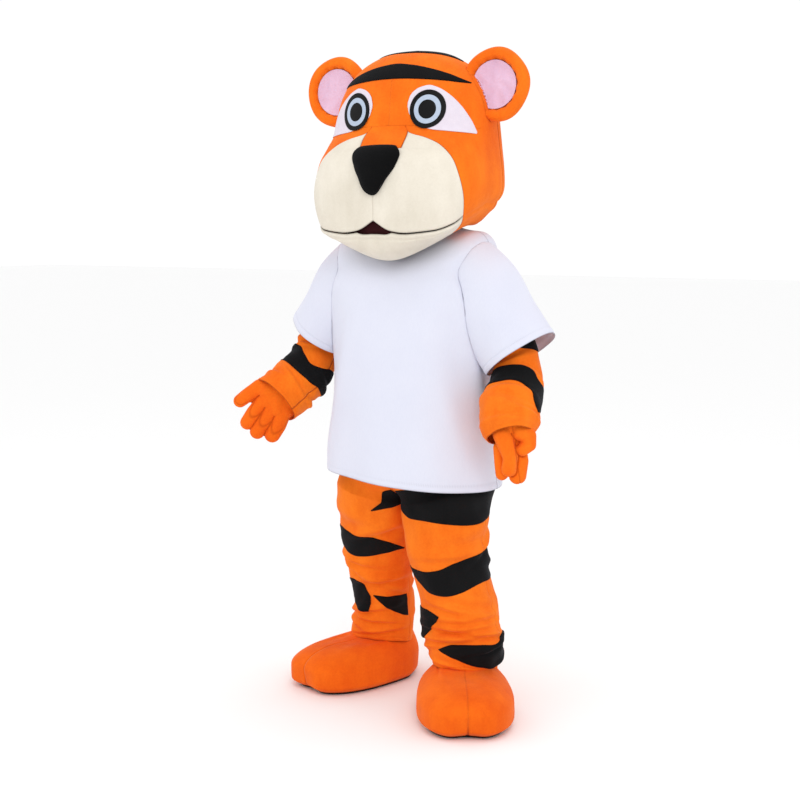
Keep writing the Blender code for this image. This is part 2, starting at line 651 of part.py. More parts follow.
# Ears: stuffed dishes facing forward, cut to the curve of the head, each with a pink lining.
EAR_X, EAR_Y, EAR_Z = 0.263, -0.018, 1.824
EAR_PROFILE = ((0.020, 0.006), (0.066, -0.004), (0.079, -0.018), (0.098, -0.015), (0.103, 0.006),
               (0.086, 0.024), (0.020, 0.036))
head_tool = filled("head_tool", [[head(a, row) + (head(a, row) - HEAD_CORE).normalized() * GAP
                                  for a in spread(0, 350, 36)] for row in spread(0.1, 13.0, 34)])
for side, tag in ((1, "l"), (-1, "r")):
    def dish(turn, radius, depth, side=side):
        return Vector((side * EAR_X + radius * math.cos(turn), EAR_Y + depth, EAR_Z + radius * math.sin(turn)))

    turns = spread(0, 2 * PI * 15 / 16, 16)
    rings = [[dish(t, radius, depth) for t in turns] for radius, depth in EAR_PROFILE]
    ear = filled("ear_" + tag, rings)
    ear.hide_render = False
    ear.display_type = "SOLID"
    ear.data.materials.append(cloth("plush_orange"))
    cut(ear, head_tool)
    lining = ((0.020, 0.006), (0.062, -0.003))
    front = [[dish(t, radius, depth - 0.0030) for t in turns] for radius, depth in lining]
    back = [[dish(t, radius, depth - 0.0012) for t in turns] for radius, depth in reversed(lining)]
    pink = filled("ear_lining_" + tag, front + back)
    pink.hide_render = False
    pink.display_type = "SOLID"
    pink.data.materials.append(cloth("plush_pink"))
    cut(pink, head_tool)


# T-shirt: front, back and two set-in sleeves.
def axis_core(point):
    return Vector((0.0, 0.0, point.z))


shirt_rows = [0, 1, 2, 3, 4, 5, 6, 8, 10]
for name, start, stop in (("shirt_front", -90, 90), ("shirt_back", 90, 270)):
    keys = [[(a, row) for a in spread(start, stop, 10)] for row in shirt_rows]
    shell(name, "knit_white", shirt, keys, -CLOTH, 0.0, axis_core)


def sleeve_core(side):
    def core(point):
        share = max(0.0, min(1.0, (1.325 - point.z) / 0.263))
        return Vector((side * mix(0.140, 0.356, share), -0.015, point.z))
    return core


def body_tool(name, surface, rows, count, grow):
    rings = []
    for row in rows:
        ring = []
        for a in spread(180 / count, 360 - 180 / count, count):
            point = surface(a, row)
            flat = Vector((point.x, point.y, 0)).normalized()
            ring.append(point + flat * grow)
        rings.append(ring)
    return filled(name, rings)


shirt_tool = body_tool("shirt_tool", shirt, shirt_rows, 18, GAP)
for side, tag in ((1, "l"), (-1, "r")):
    def tube(turn, row, side=side):
        return shirt_sleeve(side, turn, row)[0]

    keys = [[(turn, row) for turn in spread(0, 337.5, 16)] for row in (0.35, 1.1, 2.1, 3.0)]
    sleeve = shell("shirt_sleeve_" + tag, "knit_white", tube, keys, -CLOTH, 0.0, sleeve_core(side), ring=True,
                   trim=0)
    cut(sleeve, shirt_tool)
    rings = []
    for row in (0.33, 1.12, 2.15, 2.8):
        ring = [tube(turn + 9.0 + 2.0 * side, row) for turn in spread(0, 337.5, 16)]
        middle = Vector((0, 0, 0))
        for point in ring:
            middle = middle + point / len(ring)
        rings.append([point + (point - middle).normalized() * GAP for point in ring])
    hole = filled("armhole_tool_" + tag, rings)
    for panel in ("shirt_front", "shirt_back"):
        cut(bpy.data.objects[panel], hole)

# Suit: front and back of each side, neck to ankle, and two sleeves.
SUIT_ROWS = [0, 1, 2, 3.2, 4.6, 6, 7, 8, 9.4, 11, 12.5, 14, 15, 16]


def suit_core(side):
    def core(point):
        if point.z > 0.66:
            return Vector((0, 0, point.z))
        table = LEGS[side]
        row = leg_row(side, point.z)
        x = (table.at(row, "x_in") + table.at(row, "x_out")) / 2
        return Vector((side * x, table.at(row, "y_in"), point.z))
    return core


def suit_panel(side, turn, row):
    """The suit moved a hair off the centre plane so that left and right never touch."""
    point = suit(side, turn, row)
    return point + Vector((side * 0.0004, 0, 0))


for side, tag in ((1, "l"), (-1, "r")):
    for face, start, stop in (("front", 0.001, 180.0), ("back", 180.001, 359.999)):
        keys = [[(turn, row) for turn in spread(start, stop, 7)] for row in SUIT_ROWS]
        shell("suit_%s_%s" % (face, tag), "plush_orange", lambda t, r, side=side: suit_panel(side, t, r),
              keys, -CLOTH, 0.0, suit_core(side))

# Suit sleeves, cut into the torso; armholes in the panels.
def torso_ring(side_count, row):
    ring = []
    for a in spread(0, 360 - 360 / side_count, side_count):
        side = 1 if a < 180 else -1
        turn = a if a < 180 else 360 - a
        # a: 0 centre front, 90 left side, 180 centre back
        across = turn * 2 if turn <= 90 else 180 + (turn - 90) * 2
        ring.append(suit(side, min(across, 359.99), row))
    return ring


torso_tool = filled("torso_tool", [[p + Vector((p.x, p.y, 0)).normalized() * GAP for p in torso_ring(24, row)]
                                   for row in (0, 1, 2, 3.2, 4.6, 6)])


ARM_ROWS = [0.3, 1, 2, 3, 4, 5, 6]
ARM_TURNS = spread(0, 324, 10)


def arm_core(side):
    def core(point):
        best = min(spread(0, 6, 25), key=lambda r: (arm_centre(side, r) - point).length)
        return arm_centre(side, best)
    return core


for side, tag in ((1, "l"), (-1, "r")):
    def sleeve_tube(turn, row, side=side):
        return arm(side, turn, row)

    keys = [[(turn, row) for turn in ARM_TURNS] for row in ARM_ROWS]
    sleeve = shell("suit_sleeve_" + tag, "plush_orange", sleeve_tube, keys, -CLOTH, 0.0, arm_core(side), ring=True,
                   trim=0)
    cut(sleeve, torso_tool)
    rings = []
    for row in (0.3, 1.0, 2.0):
        middle = arm_centre(side, row)
        rings.append([middle + (arm(side, turn, row) - middle) * (1 + GAP / 0.07) for turn in ARM_TURNS])
    rings.insert(0, [a + (a - b) * 0.25 for a, b in zip(rings[0], rings[1])])
    hole = filled("suit_armhole_" + tag, rings)
    for face in ("front", "back"):
        cut(bpy.data.objects["suit_%s_%s" % (face, tag)], hole)


# Stripes on the suit.  Leg stripes: turn round the leg, heights of both edges.
def leg_at(side):
    def locate(turn, z):
        low, high = 6.0, 16.0
        for _ in range(30):
            middle = (low + high) / 2
            if suit(side, turn, middle).z > z:
                low = middle
            else:
                high = middle
        return turn, low
    return locate


LEG_STRIPES = {
    ("thigh_l", 1): Table(
        "turn top bottom", (5, 0.653, 0.625), (20, 0.660, 0.612), (37, 0.664, 0.592), (60, 0.672, 0.577),
        (88, 0.695, 0.578), (117, 0.705, 0.573), (155, 0.705, 0.566), (188, 0.695, 0.573), (215, 0.670, 0.590),
        (240, 0.640, 0.624)),
    ("thigh_tip_r", -1): Table("turn top bottom", (5, 0.650, 0.624), (22, 0.642, 0.612), (42, 0.618, 0.597),
                               (66, 0.586, 0.583)),
    ("knee_l", 1): Table(
        "turn top bottom", (38, 0.426, 0.423), (46, 0.425, 0.400), (65, 0.424, 0.379), (81, 0.425, 0.360),
        (103, 0.434, 0.357), (131, 0.455, 0.368), (162, 0.472, 0.386), (178, 0.478, 0.389), (206, 0.490, 0.387),
        (240, 0.488, 0.405), (272, 0.452, 0.448)),
    ("calf_l", 1): Table("turn top bottom", (5, 0.285, 0.225), (25, 0.298, 0.207), (48, 0.303, 0.212),
                         (60, 0.303, 0.235), (70, 0.300, 0.254), (86, 0.291, 0.288)),
    ("ankle_l", 1): Table(
        "turn top bottom", (77, 0.190, 0.187), (88, 0.201, 0.178), (101, 0.209, 0.163), (121, 0.211, 0.144),
        (144, 0.210, 0.132), (163, 0.205, 0.127), (178, 0.212, 0.125), (198, 0.226, 0.134), (220, 0.218, 0.165),
        (236, 0.200, 0.197)),
    ("thigh_r", -1): Table(
        "turn top bottom", (18, 0.448, 0.445), (32, 0.461, 0.443), (48, 0.474, 0.436), (72, 0.487, 0.424),
        (95, 0.497, 0.420), (112, 0.503, 0.428), (132, 0.508, 0.441), (158, 0.508, 0.460), (182, 0.500, 0.480),
        (196, 0.492, 0.489)),
    ("shin_outer_r", -1): Table(
        "turn top bottom", (83, 0.284, 0.258), (87, 0.294, 0.232), (96, 0.309, 0.230), (110, 0.330, 0.235),
        (124, 0.334, 0.240), (146, 0.328, 0.250), (164, 0.312, 0.267), (178, 0.290, 0.287)),
    ("shin_inner_r", -1): Table("turn top bottom", (5, 0.281, 0.207), (18, 0.281, 0.213), (32, 0.283, 0.225),
                                (46, 0.285, 0.238), (62, 0.288, 0.262), (77, 0.289, 0.286))}


PANEL_TURNS = [30.0 * k for k in range(13)]
for (label, side), table in LEG_STRIPES.items():
    locate = leg_at(side)
    tops = [locate(turn, table.at(turn, "top"))[1] for turn in PANEL_TURNS]
    lows = [locate(turn, table.at(turn, "bottom"))[1] for turn in PANEL_TURNS]
    turns = [t for t in PANEL_TURNS if table.first() - 30.0 < t < table.end() + 30.0]
    turns = [min(max(t, 0.001), 359.999) for t in turns]
    rows = [row for row in SUIT_ROWS if min(tops) - 1.3 < row < max(lows) + 1.3]
    columns = max(5, int((table.end() - table.first()) / 18))
    inlay("stripe_" + label, "plush_black", lambda t, r, side=side: suit_panel(side, t, r), suit_core(side),
          [[(turn, row) for turn in turns] for row in rows], patch_keys(locate, table, columns, 2), GAP)

ARM_STRIPES = {
    ("band_l", 1): Table(
        "turn top bottom", (-180, 3.80, 4.50), (-60, 3.85, 4.75), (-20, 3.90, 5.05), (0, 3.88, 5.30), (14, 3.80, 5.05),
        (32, 3.62, 4.62), (60, 3.46, 4.40), (105, 3.46, 4.48), (150, 3.62, 4.50), (180, 3.80, 4.50)),
    ("band_r", -1): Table(
        "turn top bottom", (-180, 3.72, 4.50), (-100, 3.60, 4.40), (0, 3.35, 4.45), (75, 3.45, 4.62),
        (104, 3.76, 4.68), (130, 3.98, 4.72), (158, 3.86, 4.66), (180, 3.72, 4.50)),
    ("upper_l", 1): Table("turn top bottom", (-68, 2.80, 2.83), (-25, 2.68, 2.96), (0, 2.66, 2.99), (25, 2.72, 2.92),
                          (48, 2.80, 2.84))}
for (label, side), table in ARM_STRIPES.items():
    whole = label.startswith("band")
    turns = ARM_TURNS if whole else [-72, -36, 0, 36, 72]
    rows = [row for row in ARM_ROWS if 1.5 < row < 6.5]
    outline = patch_keys(lambda t, r: (t, r), table, 15 if whole else 6, 2)
    if whole:
        outline = [line[:-1] for line in outline]
    inlay("stripe_" + label, "plush_black", lambda t, r, side=side: arm(side, t, r), arm_core(side),
          [[(turn, row) for turn in turns] for row in rows], outline, GAP, whole, whole)

# Gloves: a plump mitt with three fingers and a thumb, palm and back halves seamed round the edge.
# Each hand is laid out flat first: x towards the thumb, y along the fingers, z out of the palm.
DIGITS = Table(
    "digit x y reach spread curl thick",
    (0, 0.030, 0.085, 0.078, 14.0, 20.0, 0.0235),
    (1, -0.004, 0.094, 0.084, 0.0, 24.0, 0.0240),
    (2, -0.037, 0.082, 0.072, -14.0, 28.0, 0.0225),
    (3, 0.040, 0.030, 0.062, 52.0, 16.0, 0.0225))
PALM = Table("down y half thick", (0, -0.045, 0.044, 0.040), (1, -0.025, 0.046, 0.038), (2, 0.015, 0.056, 0.034),
             (3, 0.055, 0.060, 0.031), (4, 0.085, 0.056, 0.028), (5, 0.103, 0.036, 0.018))
HANDS = {1: (Vector((0.376, -0.130, 0.864)), Vector((0.02, -0.10, -1.0)), Vector((-0.45, 0.75, -0.1))),
         -1: (Vector((-0.394, -0.172, 0.906)), Vector((-0.42, -0.42, -0.80)), Vector((0.45, -0.75, -0.1)))}


def hand_frame(side):
    """Wrist point, direction of the fingers, of the thumb side and out of the palm."""
    wrist, along, palm = HANDS[side]
    along = along.normalized()
    palm = (palm - along * palm.dot(along)).normalized()
    thumb = along.cross(palm) if side > 0 else palm.cross(along)
    return wrist, along, thumb, palm


def tube_rings(centres, radii, count, shrink):
    rings = []
    for i, centre in enumerate(centres):
        before, after = centres[max(0, i - 1)], centres[min(len(centres) - 1, i + 1)]
        axis = (after - before).normalized()
        first = Vector((0, 0, 1)) - axis * axis.z
        first = first.normalized() if first.length > 0.05 else Vector((1, 0, 0))
        second = axis.cross(first)
        radius = max(radii[i] - shrink, 0.0015)
        rings.append([centre + (first * math.cos(t) + second * math.sin(t)) * radius
                      for t in spread(0, 2 * PI * (count - 1) / count, count)])
    return rings


def hand_parts(shrink):
    """Rings of the palm and the four digits, each drawn in by shrink."""
    parts = []
    rings = []
    for down in (0, 3, 5):
        y = PALM.at(down, "y") - (shrink if down == 5 else 0) - (0.01 if shrink and down == 0 else 0)
        rings.append([Vector(((PALM.at(down, "half") - shrink) * math.cos(t), y,
                              (PALM.at(down, "thick") - shrink) * math.sin(t)))
                      for t in spread(0, 2 * PI * 7 / 8, 8)])
    parts.append(rings)
    for digit in range(4):
        lean = DIGITS.at(digit, "spread") * DEG
        thick = DIGITS.at(digit, "thick")
        centre = Vector((DIGITS.at(digit, "x"), DIGITS.at(digit, "y"), 0.0))
        centre = centre - Vector((math.sin(lean), math.cos(lean), 0)) * 0.03
        curl = 0.0
        centres, radii = [], []
        share = (0.66, 0.66, 0.26)
        size = (0.90, 1.02, 0.92, 0.36)
        for k in range(4):
            centres.append(centre)
            radii.append(thick * size[k])
            if k < 3:
                step = share[k] * (DIGITS.at(digit, "reach") + 0.03 - (shrink if k > 1 else 0)) / 1.58
                direction = Vector((math.sin(lean) * math.cos(curl), math.cos(lean) * math.cos(curl),
                                    math.sin(curl)))
                centre = centre + direction * step
                curl += DIGITS.at(digit, "curl") * DEG * (0.5 if k > 0 else 0.0)
        parts.append(tube_rings(centres, radii, 6, shrink))
    return parts


def join_union(base, tools):
    for tool in tools:
        boolean = base.modifiers.new("join_" + tool.name, "BOOLEAN")
        boolean.operation = "UNION"
        boolean.solver = "EXACT"
        boolean.object = tool


def placed(side, rings):
    wrist, along, thumb, palm = hand_frame(side)
    return [[wrist + thumb * p.x + along * p.y + palm * p.z for p in ring] for ring in rings]


for side, tag in ((1, "l"), (-1, "r")):
    inner_parts = [filled("glove_inner_%s_%d" % (tag, i), placed(side, rings))
                   for i, rings in enumerate(hand_parts(0.0022))]
    wrist, along, thumb, palm = hand_frame(side)
    for half, sign in (("palm", 1), ("back", -1)):
        outer_parts = [filled("glove_outer_%s_%s_%d" % (half, tag, i), placed(side, rings))
                       for i, rings in enumerate(hand_parts(0.0))]
        glove = outer_parts[0]
        glove.name = "glove_%s_%s" % (half, tag)
        glove.hide_render = False
        glove.display_type = "SOLID"
        glove.data.materials.append(cloth("plush_orange"))
        join_union(glove, outer_parts[1:])
        for tool in inner_parts:
            cut(glove, tool)
        # The half that is not wanted is taken off by a block reaching just past the seam.
        block = []
        for y in (-0.12, 0.26):
            ring = []
            for x, z in ((-0.16, GAP / 2), (0.20, GAP / 2), (0.20, -0.16), (-0.16, -0.16)):
                ring.append(Vector((x, y, z * sign)))
            block.append(ring)
        cut(glove, filled("glove_block_%s_%s" % (half, tag), placed(side, block)))

# Overshoes: inner and outer halves over a flat sole.
FOOT_ROWS = [0, 1, 2.4, 3.6, 5, 6, 8]
for side, tag in ((1, "l"), (-1, "r")):
    def foot_core(point, side=side):
        return Vector((STANCE.at(side, "x"), STANCE.at(side, "y"), 0.06))

    for name, start, stop in (("inner", -180, 0), ("outer", 0, 180)):
        keys = [[(side * a, row) for a in spread(start, stop, 9)] for row in FOOT_ROWS]
        shell("foot_%s_%s" % (name, tag), "plush_orange", lambda t, r, side=side: foot(side, t, r),
              keys, -0.008, 0.0, foot_core)
    rings = []
    for z, inset in ((0.0, 0.002), (0.008, 0.0)):
        ring = []
        for a in spread(-180, 157.5, 16):
            edge = foot(side, a, 0)
            middle = Vector((STANCE.at(side, "x"), STANCE.at(side, "y"), edge.z))
            edge = edge - (edge - middle).normalized() * inset
            ring.append(Vector((edge.x, edge.y, z)))
        rings.append(ring)
    sole = filled("sole_" + tag, rings)
    sole.hide_render = False
    sole.display_type = "SOLID"
    sole.data.materials.append(cloth("sole_dark"))
    sole.data.polygons.foreach_set("use_smooth", [False] * len(sole.data.polygons))
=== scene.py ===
"""Tiger mascot costume: the visible cloth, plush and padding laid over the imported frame.

Heights in the tables are above the floor and are set down by SHOULDER when a form is worked out,
so that the origin lies between the wearer's shoulders, as it does in the frame.
"""
import math

import bmesh
import bpy
import numpy as np
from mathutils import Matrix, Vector
from mathutils.bvhtree import BVHTree


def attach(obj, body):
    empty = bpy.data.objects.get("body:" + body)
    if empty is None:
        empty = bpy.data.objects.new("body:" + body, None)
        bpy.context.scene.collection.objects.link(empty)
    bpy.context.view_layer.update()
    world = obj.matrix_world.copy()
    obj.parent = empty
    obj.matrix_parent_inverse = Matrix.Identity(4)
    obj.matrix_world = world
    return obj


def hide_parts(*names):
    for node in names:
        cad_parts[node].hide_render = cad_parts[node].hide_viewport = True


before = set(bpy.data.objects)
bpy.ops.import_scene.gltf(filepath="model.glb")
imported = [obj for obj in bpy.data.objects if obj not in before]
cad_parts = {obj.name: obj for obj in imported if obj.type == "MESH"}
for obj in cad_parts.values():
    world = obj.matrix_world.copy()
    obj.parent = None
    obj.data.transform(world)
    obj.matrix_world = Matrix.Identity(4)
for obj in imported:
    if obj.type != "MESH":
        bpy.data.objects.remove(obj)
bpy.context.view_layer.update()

SHOULDER = 1.43          # height of the frame's origin above the floor
DEG = math.pi / 180.0
SIDES = ((1, "l"), (-1, "r"))

HEAD_WALL = 0.0065       # foam with its plush
SHOE_WALL = 0.0045       # padded plush
SOLE_THICK = 0.0058
SUIT_WALL = 0.0018
SHIRT_WALL = 0.0014
STRIPE_WALL = 0.0012
FELT_WALL = 0.0014
STRIPE_LIFT = 0.0021     # outer face of a stripe above the plush that it is sewn on
HEAD_AIR = 0.0012        # room between an ear and the head


# ------------------------------------------------------------------ sizes and forms
class Table:
    """Short table of sizes with named columns, read between its rows along a smooth curve."""

    def __init__(self, columns, *rows):
        self.names = columns.split()
        self.rows = np.array(rows, float)
        chord = np.diff(self.rows, axis=0) / np.diff(self.rows[:, :1], axis=0)
        self.slope = np.vstack((chord[:1], np.zeros_like(chord[1:]), chord[-1:]))
        before, after = chord[:-1], chord[1:]
        rising = before * after > 0
        self.slope[1:-1] = np.where(rising, 2 * before * after / np.where(rising, before + after, 1.0), 0.0)

    def at(self, key, name):
        column = self.names.index(name)
        x, y, m = self.rows[:, 0], self.rows[:, column], self.slope[:, column]
        key = np.clip(key, x[0], x[-1])
        i = np.clip(np.searchsorted(x, key, side="right") - 1, 0, len(x) - 2)
        h = x[i + 1] - x[i]
        u = (key - x[i]) / h
        return (y[i] * (1 + 2 * u) * (1 - u) ** 2 + y[i + 1] * u * u * (3 - 2 * u)
                + h * (m[i] * u * (1 - u) ** 2 - m[i + 1] * u * u * (1 - u)))

    def span(self):
        return self.rows[0, 0], self.rows[-1, 0]


def point(x, y, z):
    x, y, z = np.broadcast_arrays(x, y, z)
    return np.stack((x, y, z), axis=-1)


def paired(first, second):
    """Two coordinates as float arrays of one shape."""
    return np.broadcast_arrays(np.asarray(first, float), np.asarray(second, float))


def unit(vectors):
    return vectors / np.maximum(np.linalg.norm(vectors, axis=-1, keepdims=True), 1e-12)


def mix(a, b, t):
    return a + (b - a) * t


def bell(x, reach):
    return np.exp(-(x / reach) ** 2)


def step(x, low, high):
    t = np.clip((x - low) / (high - low), 0.0, 1.0)
    return t * t * (3 - 2 * t)


def eased(start, stop, count, ends=0.6):
    """Values from start to stop that crowd towards both ends."""
    t = np.linspace(0.0, 1.0, count)
    return start + (stop - start) * mix(t, (1 - np.cos(math.pi * t)) / 2, ends)


def facing(form, u, v, core, du=0.4, dv=0.01):
    """Outward unit normals of a form at its coordinates."""
    across = form(u + du, v) - form(u - du, v)
    down = form(u, v + dv) - form(u, v - dv)
    normal = unit(np.cross(across, down))
    here = form(u, v)
    return normal if np.sum(normal * (here - core(here))) > 0 else -normal


def axis_core(here):
    return here * np.array((0.0, 0.0, 1.0))


def spine_of(sizes, side, rows):
    """Middle line of a sleeve."""
    return point(side * sizes.at(rows, "x"), sizes.at(rows, "y"), sizes.at(rows, "z") - SHOULDER)


def nearest_on(spine, here):
    gap = np.linalg.norm(here[..., None, :] - spine, axis=-1)
    return spine[np.argmin(gap, axis=-1)]


# The head from its crown down: heights at the front, side and back of each ring, and its half width, depths
# and how square it is.
HEAD = Table(
    "row z_front z_side z_back width front back square_front square_back",
    (0, 1.932, 1.932, 1.932, 0.001, 0.001, 0.001, 2.0, 2.0),
    (1, 1.920, 1.922, 1.918, 0.082, 0.070, 0.078, 2.0, 2.0),
    (2, 1.885, 1.892, 1.885, 0.155, 0.118, 0.138, 2.1, 2.0),
    (3, 1.830, 1.836, 1.828, 0.212, 0.150, 0.185, 2.2, 2.0),
    (4, 1.765, 1.765, 1.755, 0.243, 0.160, 0.212, 2.35, 2.0),
    (5, 1.710, 1.700, 1.685, 0.251, 0.168, 0.222, 2.5, 2.0),
    (6, 1.665, 1.650, 1.625, 0.257, 0.202, 0.224, 2.9, 2.0),
    (7, 1.610, 1.600, 1.570, 0.264, 0.240, 0.220, 3.3, 2.0),
    (8, 1.535, 1.545, 1.530, 0.268, 0.255, 0.210, 3.6, 2.0),
    (9, 1.455, 1.494, 1.503, 0.249, 0.255, 0.182, 3.5, 2.0),
    (10, 1.397, 1.461, 1.482, 0.221, 0.246, 0.162, 3.2, 2.0),
    (11, 1.350, 1.438, 1.464, 0.196, 0.220, 0.150, 2.8, 2.0),
    (12, 1.328, 1.428, 1.453, 0.174, 0.168, 0.144, 2.4, 2.0),
    (13, 1.336, 1.436, 1.456, 0.150, 0.115, 0.133, 2.2, 2.0))
HEAD_FIRST, HEAD_LAST = 0.12, 13.0                  # rows of the cloth at the crown and at the neck
BRIDGE_TOP, MUZZLE_TOP, BRIDGE_END, MOUTH = 5.0, 5.35, 6.4, 9.0     # rows of the snout's seams
SIDE_SEAM = 98.0                                    # degrees round to the seam behind the cheek
LIP = Table(
    "angle drop",
    (0, 0.013), (12, 0.043), (24, 0.053), (38, 0.054), (49, 0.044), (60, 0.020), (80, 0.0))
MUZZLE_SEAM = Table(
    "row angle",
    (BRIDGE_TOP, 18.5), (MUZZLE_TOP, 21), (5.5, 25), (5.7, 35), (6.1, 44), (6.7, 49),
    (7.4, 52), (8.3, 55), (9.2, 57), (10.5, 61), (11.5, 61), (HEAD_LAST, 58))
BRIDGE = Table("row angle", (BRIDGE_TOP, 18.5), (MUZZLE_TOP, 21), (BRIDGE_END, 17.5))
HEAD_CORE = np.array((0.0, 0.0, 1.62 - SHOULDER))


def head_core(here):
    return HEAD_CORE


def head(angle, row):
    """Outer face of the head at an angle in degrees round from the front, positive to its left."""
    angle, row = paired(angle, row)
    c, s = np.cos(angle * DEG), np.sin(angle * DEG)

    def either(name):
        return np.where(c >= 0, HEAD.at(row, name + "front"), HEAD.at(row, name + "back"))

    depth, power = either(""), either("square_")
    radius = (np.abs(s / HEAD.at(row, "width")) ** power + np.abs(c / depth) ** power) ** (-1.0 / power)
    side = HEAD.at(row, "z_side")
    z = side + (either("z_") - side) * c * c
    z = z - LIP.at(np.abs(angle), "drop") * np.exp(-((row - MOUTH) / 1.3) ** 2)
    return point(radius * s, -radius * c, z - SHOULDER)


def head_at(x, z):
    """Angle and row of the front of the head at x and height z, as on a front elevation."""
    x, z = np.broadcast_arrays(np.asarray(x, float), np.asarray(z, float) - SHOULDER)
    angle = np.arctan2(x, 0.17) / DEG
    tries = np.linspace(1.5, 12.0, 43)
    heights = np.stack([head(angle, row)[..., 2] for row in tries])
    row = tries[np.argmin(np.abs(heights - z), axis=0)]
    for _ in range(8):
        here = head(angle, row)
        across = (head(angle + 0.05, row) - here) / 0.05
        down = (head(angle, row + 0.001) - here) / 0.001
        det = across[..., 0] * down[..., 2] - down[..., 0] * across[..., 2]
        dx, dz = x - here[..., 0], z - here[..., 2]
        angle = angle + np.clip((dx * down[..., 2] - down[..., 0] * dz) / det, -8, 8)
        row = row + np.clip((across[..., 0] * dz - dx * across[..., 2]) / det, -0.5, 0.5)
    return angle, row


# The shirt from its neck down, ring by ring as the head.
SHIRT = Table(
    "row z_front z_side z_back width front back square",
    (0, 1.345, 1.430, 1.440, 0.100, 0.085, 0.085, 2.0),
    (1, 1.322, 1.422, 1.432, 0.128, 0.112, 0.105, 2.0),
    (2, 1.300, 1.414, 1.420, 0.160, 0.137, 0.130, 2.1),
    (3, 1.262, 1.410, 1.398, 0.202, 0.163, 0.157, 2.2),
    (4, 1.200, 1.384, 1.350, 0.236, 0.184, 0.180, 2.3),
    (5, 1.130, 1.306, 1.270, 0.248, 0.198, 0.195, 2.4),
    (6, 1.050, 1.140, 1.135, 0.243, 0.208, 0.205, 2.4),
    (7, 0.950, 0.980, 0.980, 0.244, 0.215, 0.212, 2.4),
    (8, 0.850, 0.860, 0.860, 0.250, 0.222, 0.220, 2.3),
    (9, 0.765, 0.765, 0.765, 0.258, 0.230, 0.228, 2.3),
    (10, 0.685, 0.680, 0.670, 0.266, 0.237, 0.236, 2.2))
HEM_TILT = 0.020     # the hem hangs lower on the figure's left

SLEEVE_LEFT = Table(
    "row x y z out deep",
    (0, 0.140, -0.010, 1.325, 0.110, 0.108),
    (1, 0.215, -0.014, 1.245, 0.122, 0.112),
    (2, 0.290, -0.016, 1.145, 0.112, 0.118),
    (3, 0.356, -0.018, 1.062, 0.112, 0.124))
SLEEVE_RIGHT = Table(
    "row x y z out deep",
    (0, 0.140, -0.010, 1.325, 0.110, 0.108),
    (1, 0.208, -0.014, 1.250, 0.120, 0.112),
    (2, 0.272, -0.018, 1.165, 0.106, 0.113),
    (3, 0.320, -0.022, 1.094, 0.099, 0.115))
SLEEVES = {1: SLEEVE_LEFT, -1: SLEEVE_RIGHT}

TORSO = Table(
    "row z_mid z_side width front back",
    (0, 1.330, 1.405, 0.088, 0.075, 0.080),
    (1, 1.290, 1.388, 0.130, 0.115, 0.115),
    (2, 1.230, 1.350, 0.185, 0.150, 0.150),
    (3, 1.130, 1.270, 0.205, 0.172, 0.172),
    (4, 0.980, 1.080, 0.206, 0.182, 0.182),
    (5, 0.840, 0.880, 0.212, 0.188, 0.192),
    (6, 0.672, 0.725, 0.232, 0.180, 0.190))
LEG_LEFT = Table(
    "row z_in z x_in x_out y_in y_out front back",
    (7, 0.606, 0.655, 0.0, 0.242, 0.000, -0.012, 0.158, 0.160),
    (8, 0.576, 0.605, 0.003, 0.247, -0.012, -0.028, 0.148, 0.140),
    (9, 0.535, 0.545, 0.006, 0.247, -0.030, -0.040, 0.138, 0.130),
    (10, 0.480, 0.480, 0.008, 0.243, -0.042, -0.042, 0.127, 0.124),
    (11, 0.405, 0.405, 0.022, 0.250, -0.036, -0.036, 0.116, 0.116),
    (12, 0.315, 0.315, 0.042, 0.272, -0.026, -0.026, 0.114, 0.114),
    (13, 0.240, 0.240, 0.050, 0.284, -0.020, -0.020, 0.116, 0.116),
    (14, 0.190, 0.190, 0.058, 0.291, -0.020, -0.020, 0.115, 0.115),
    (15, 0.140, 0.140, 0.076, 0.283, -0.023, -0.023, 0.103, 0.103),
    (16, 0.114, 0.114, 0.082, 0.270, -0.027, -0.027, 0.094, 0.094))
LEG_RIGHT = Table(
    "row z_in z x_in x_out y_in y_out front back",
    (7, 0.606, 0.655, 0.0, 0.246, 0.000, 0.000, 0.158, 0.160),
    (8, 0.576, 0.605, 0.003, 0.256, 0.002, 0.002, 0.145, 0.142),
    (9, 0.535, 0.545, 0.006, 0.262, 0.010, 0.010, 0.130, 0.132),
    (10, 0.480, 0.480, 0.026, 0.265, 0.026, 0.026, 0.120, 0.120),
    (11, 0.405, 0.405, 0.050, 0.268, 0.048, 0.048, 0.109, 0.109),
    (12, 0.315, 0.315, 0.068, 0.257, 0.074, 0.074, 0.101, 0.101),
    (13, 0.240, 0.240, 0.078, 0.265, 0.094, 0.094, 0.098, 0.098),
    (14, 0.190, 0.190, 0.083, 0.276, 0.105, 0.105, 0.098, 0.098),
    (15, 0.140, 0.140, 0.092, 0.288, 0.114, 0.114, 0.098, 0.098),
    (16, 0.114, 0.114, 0.097, 0.284, 0.116, 0.116, 0.094, 0.094))
LEGS = {1: LEG_LEFT, -1: LEG_RIGHT}

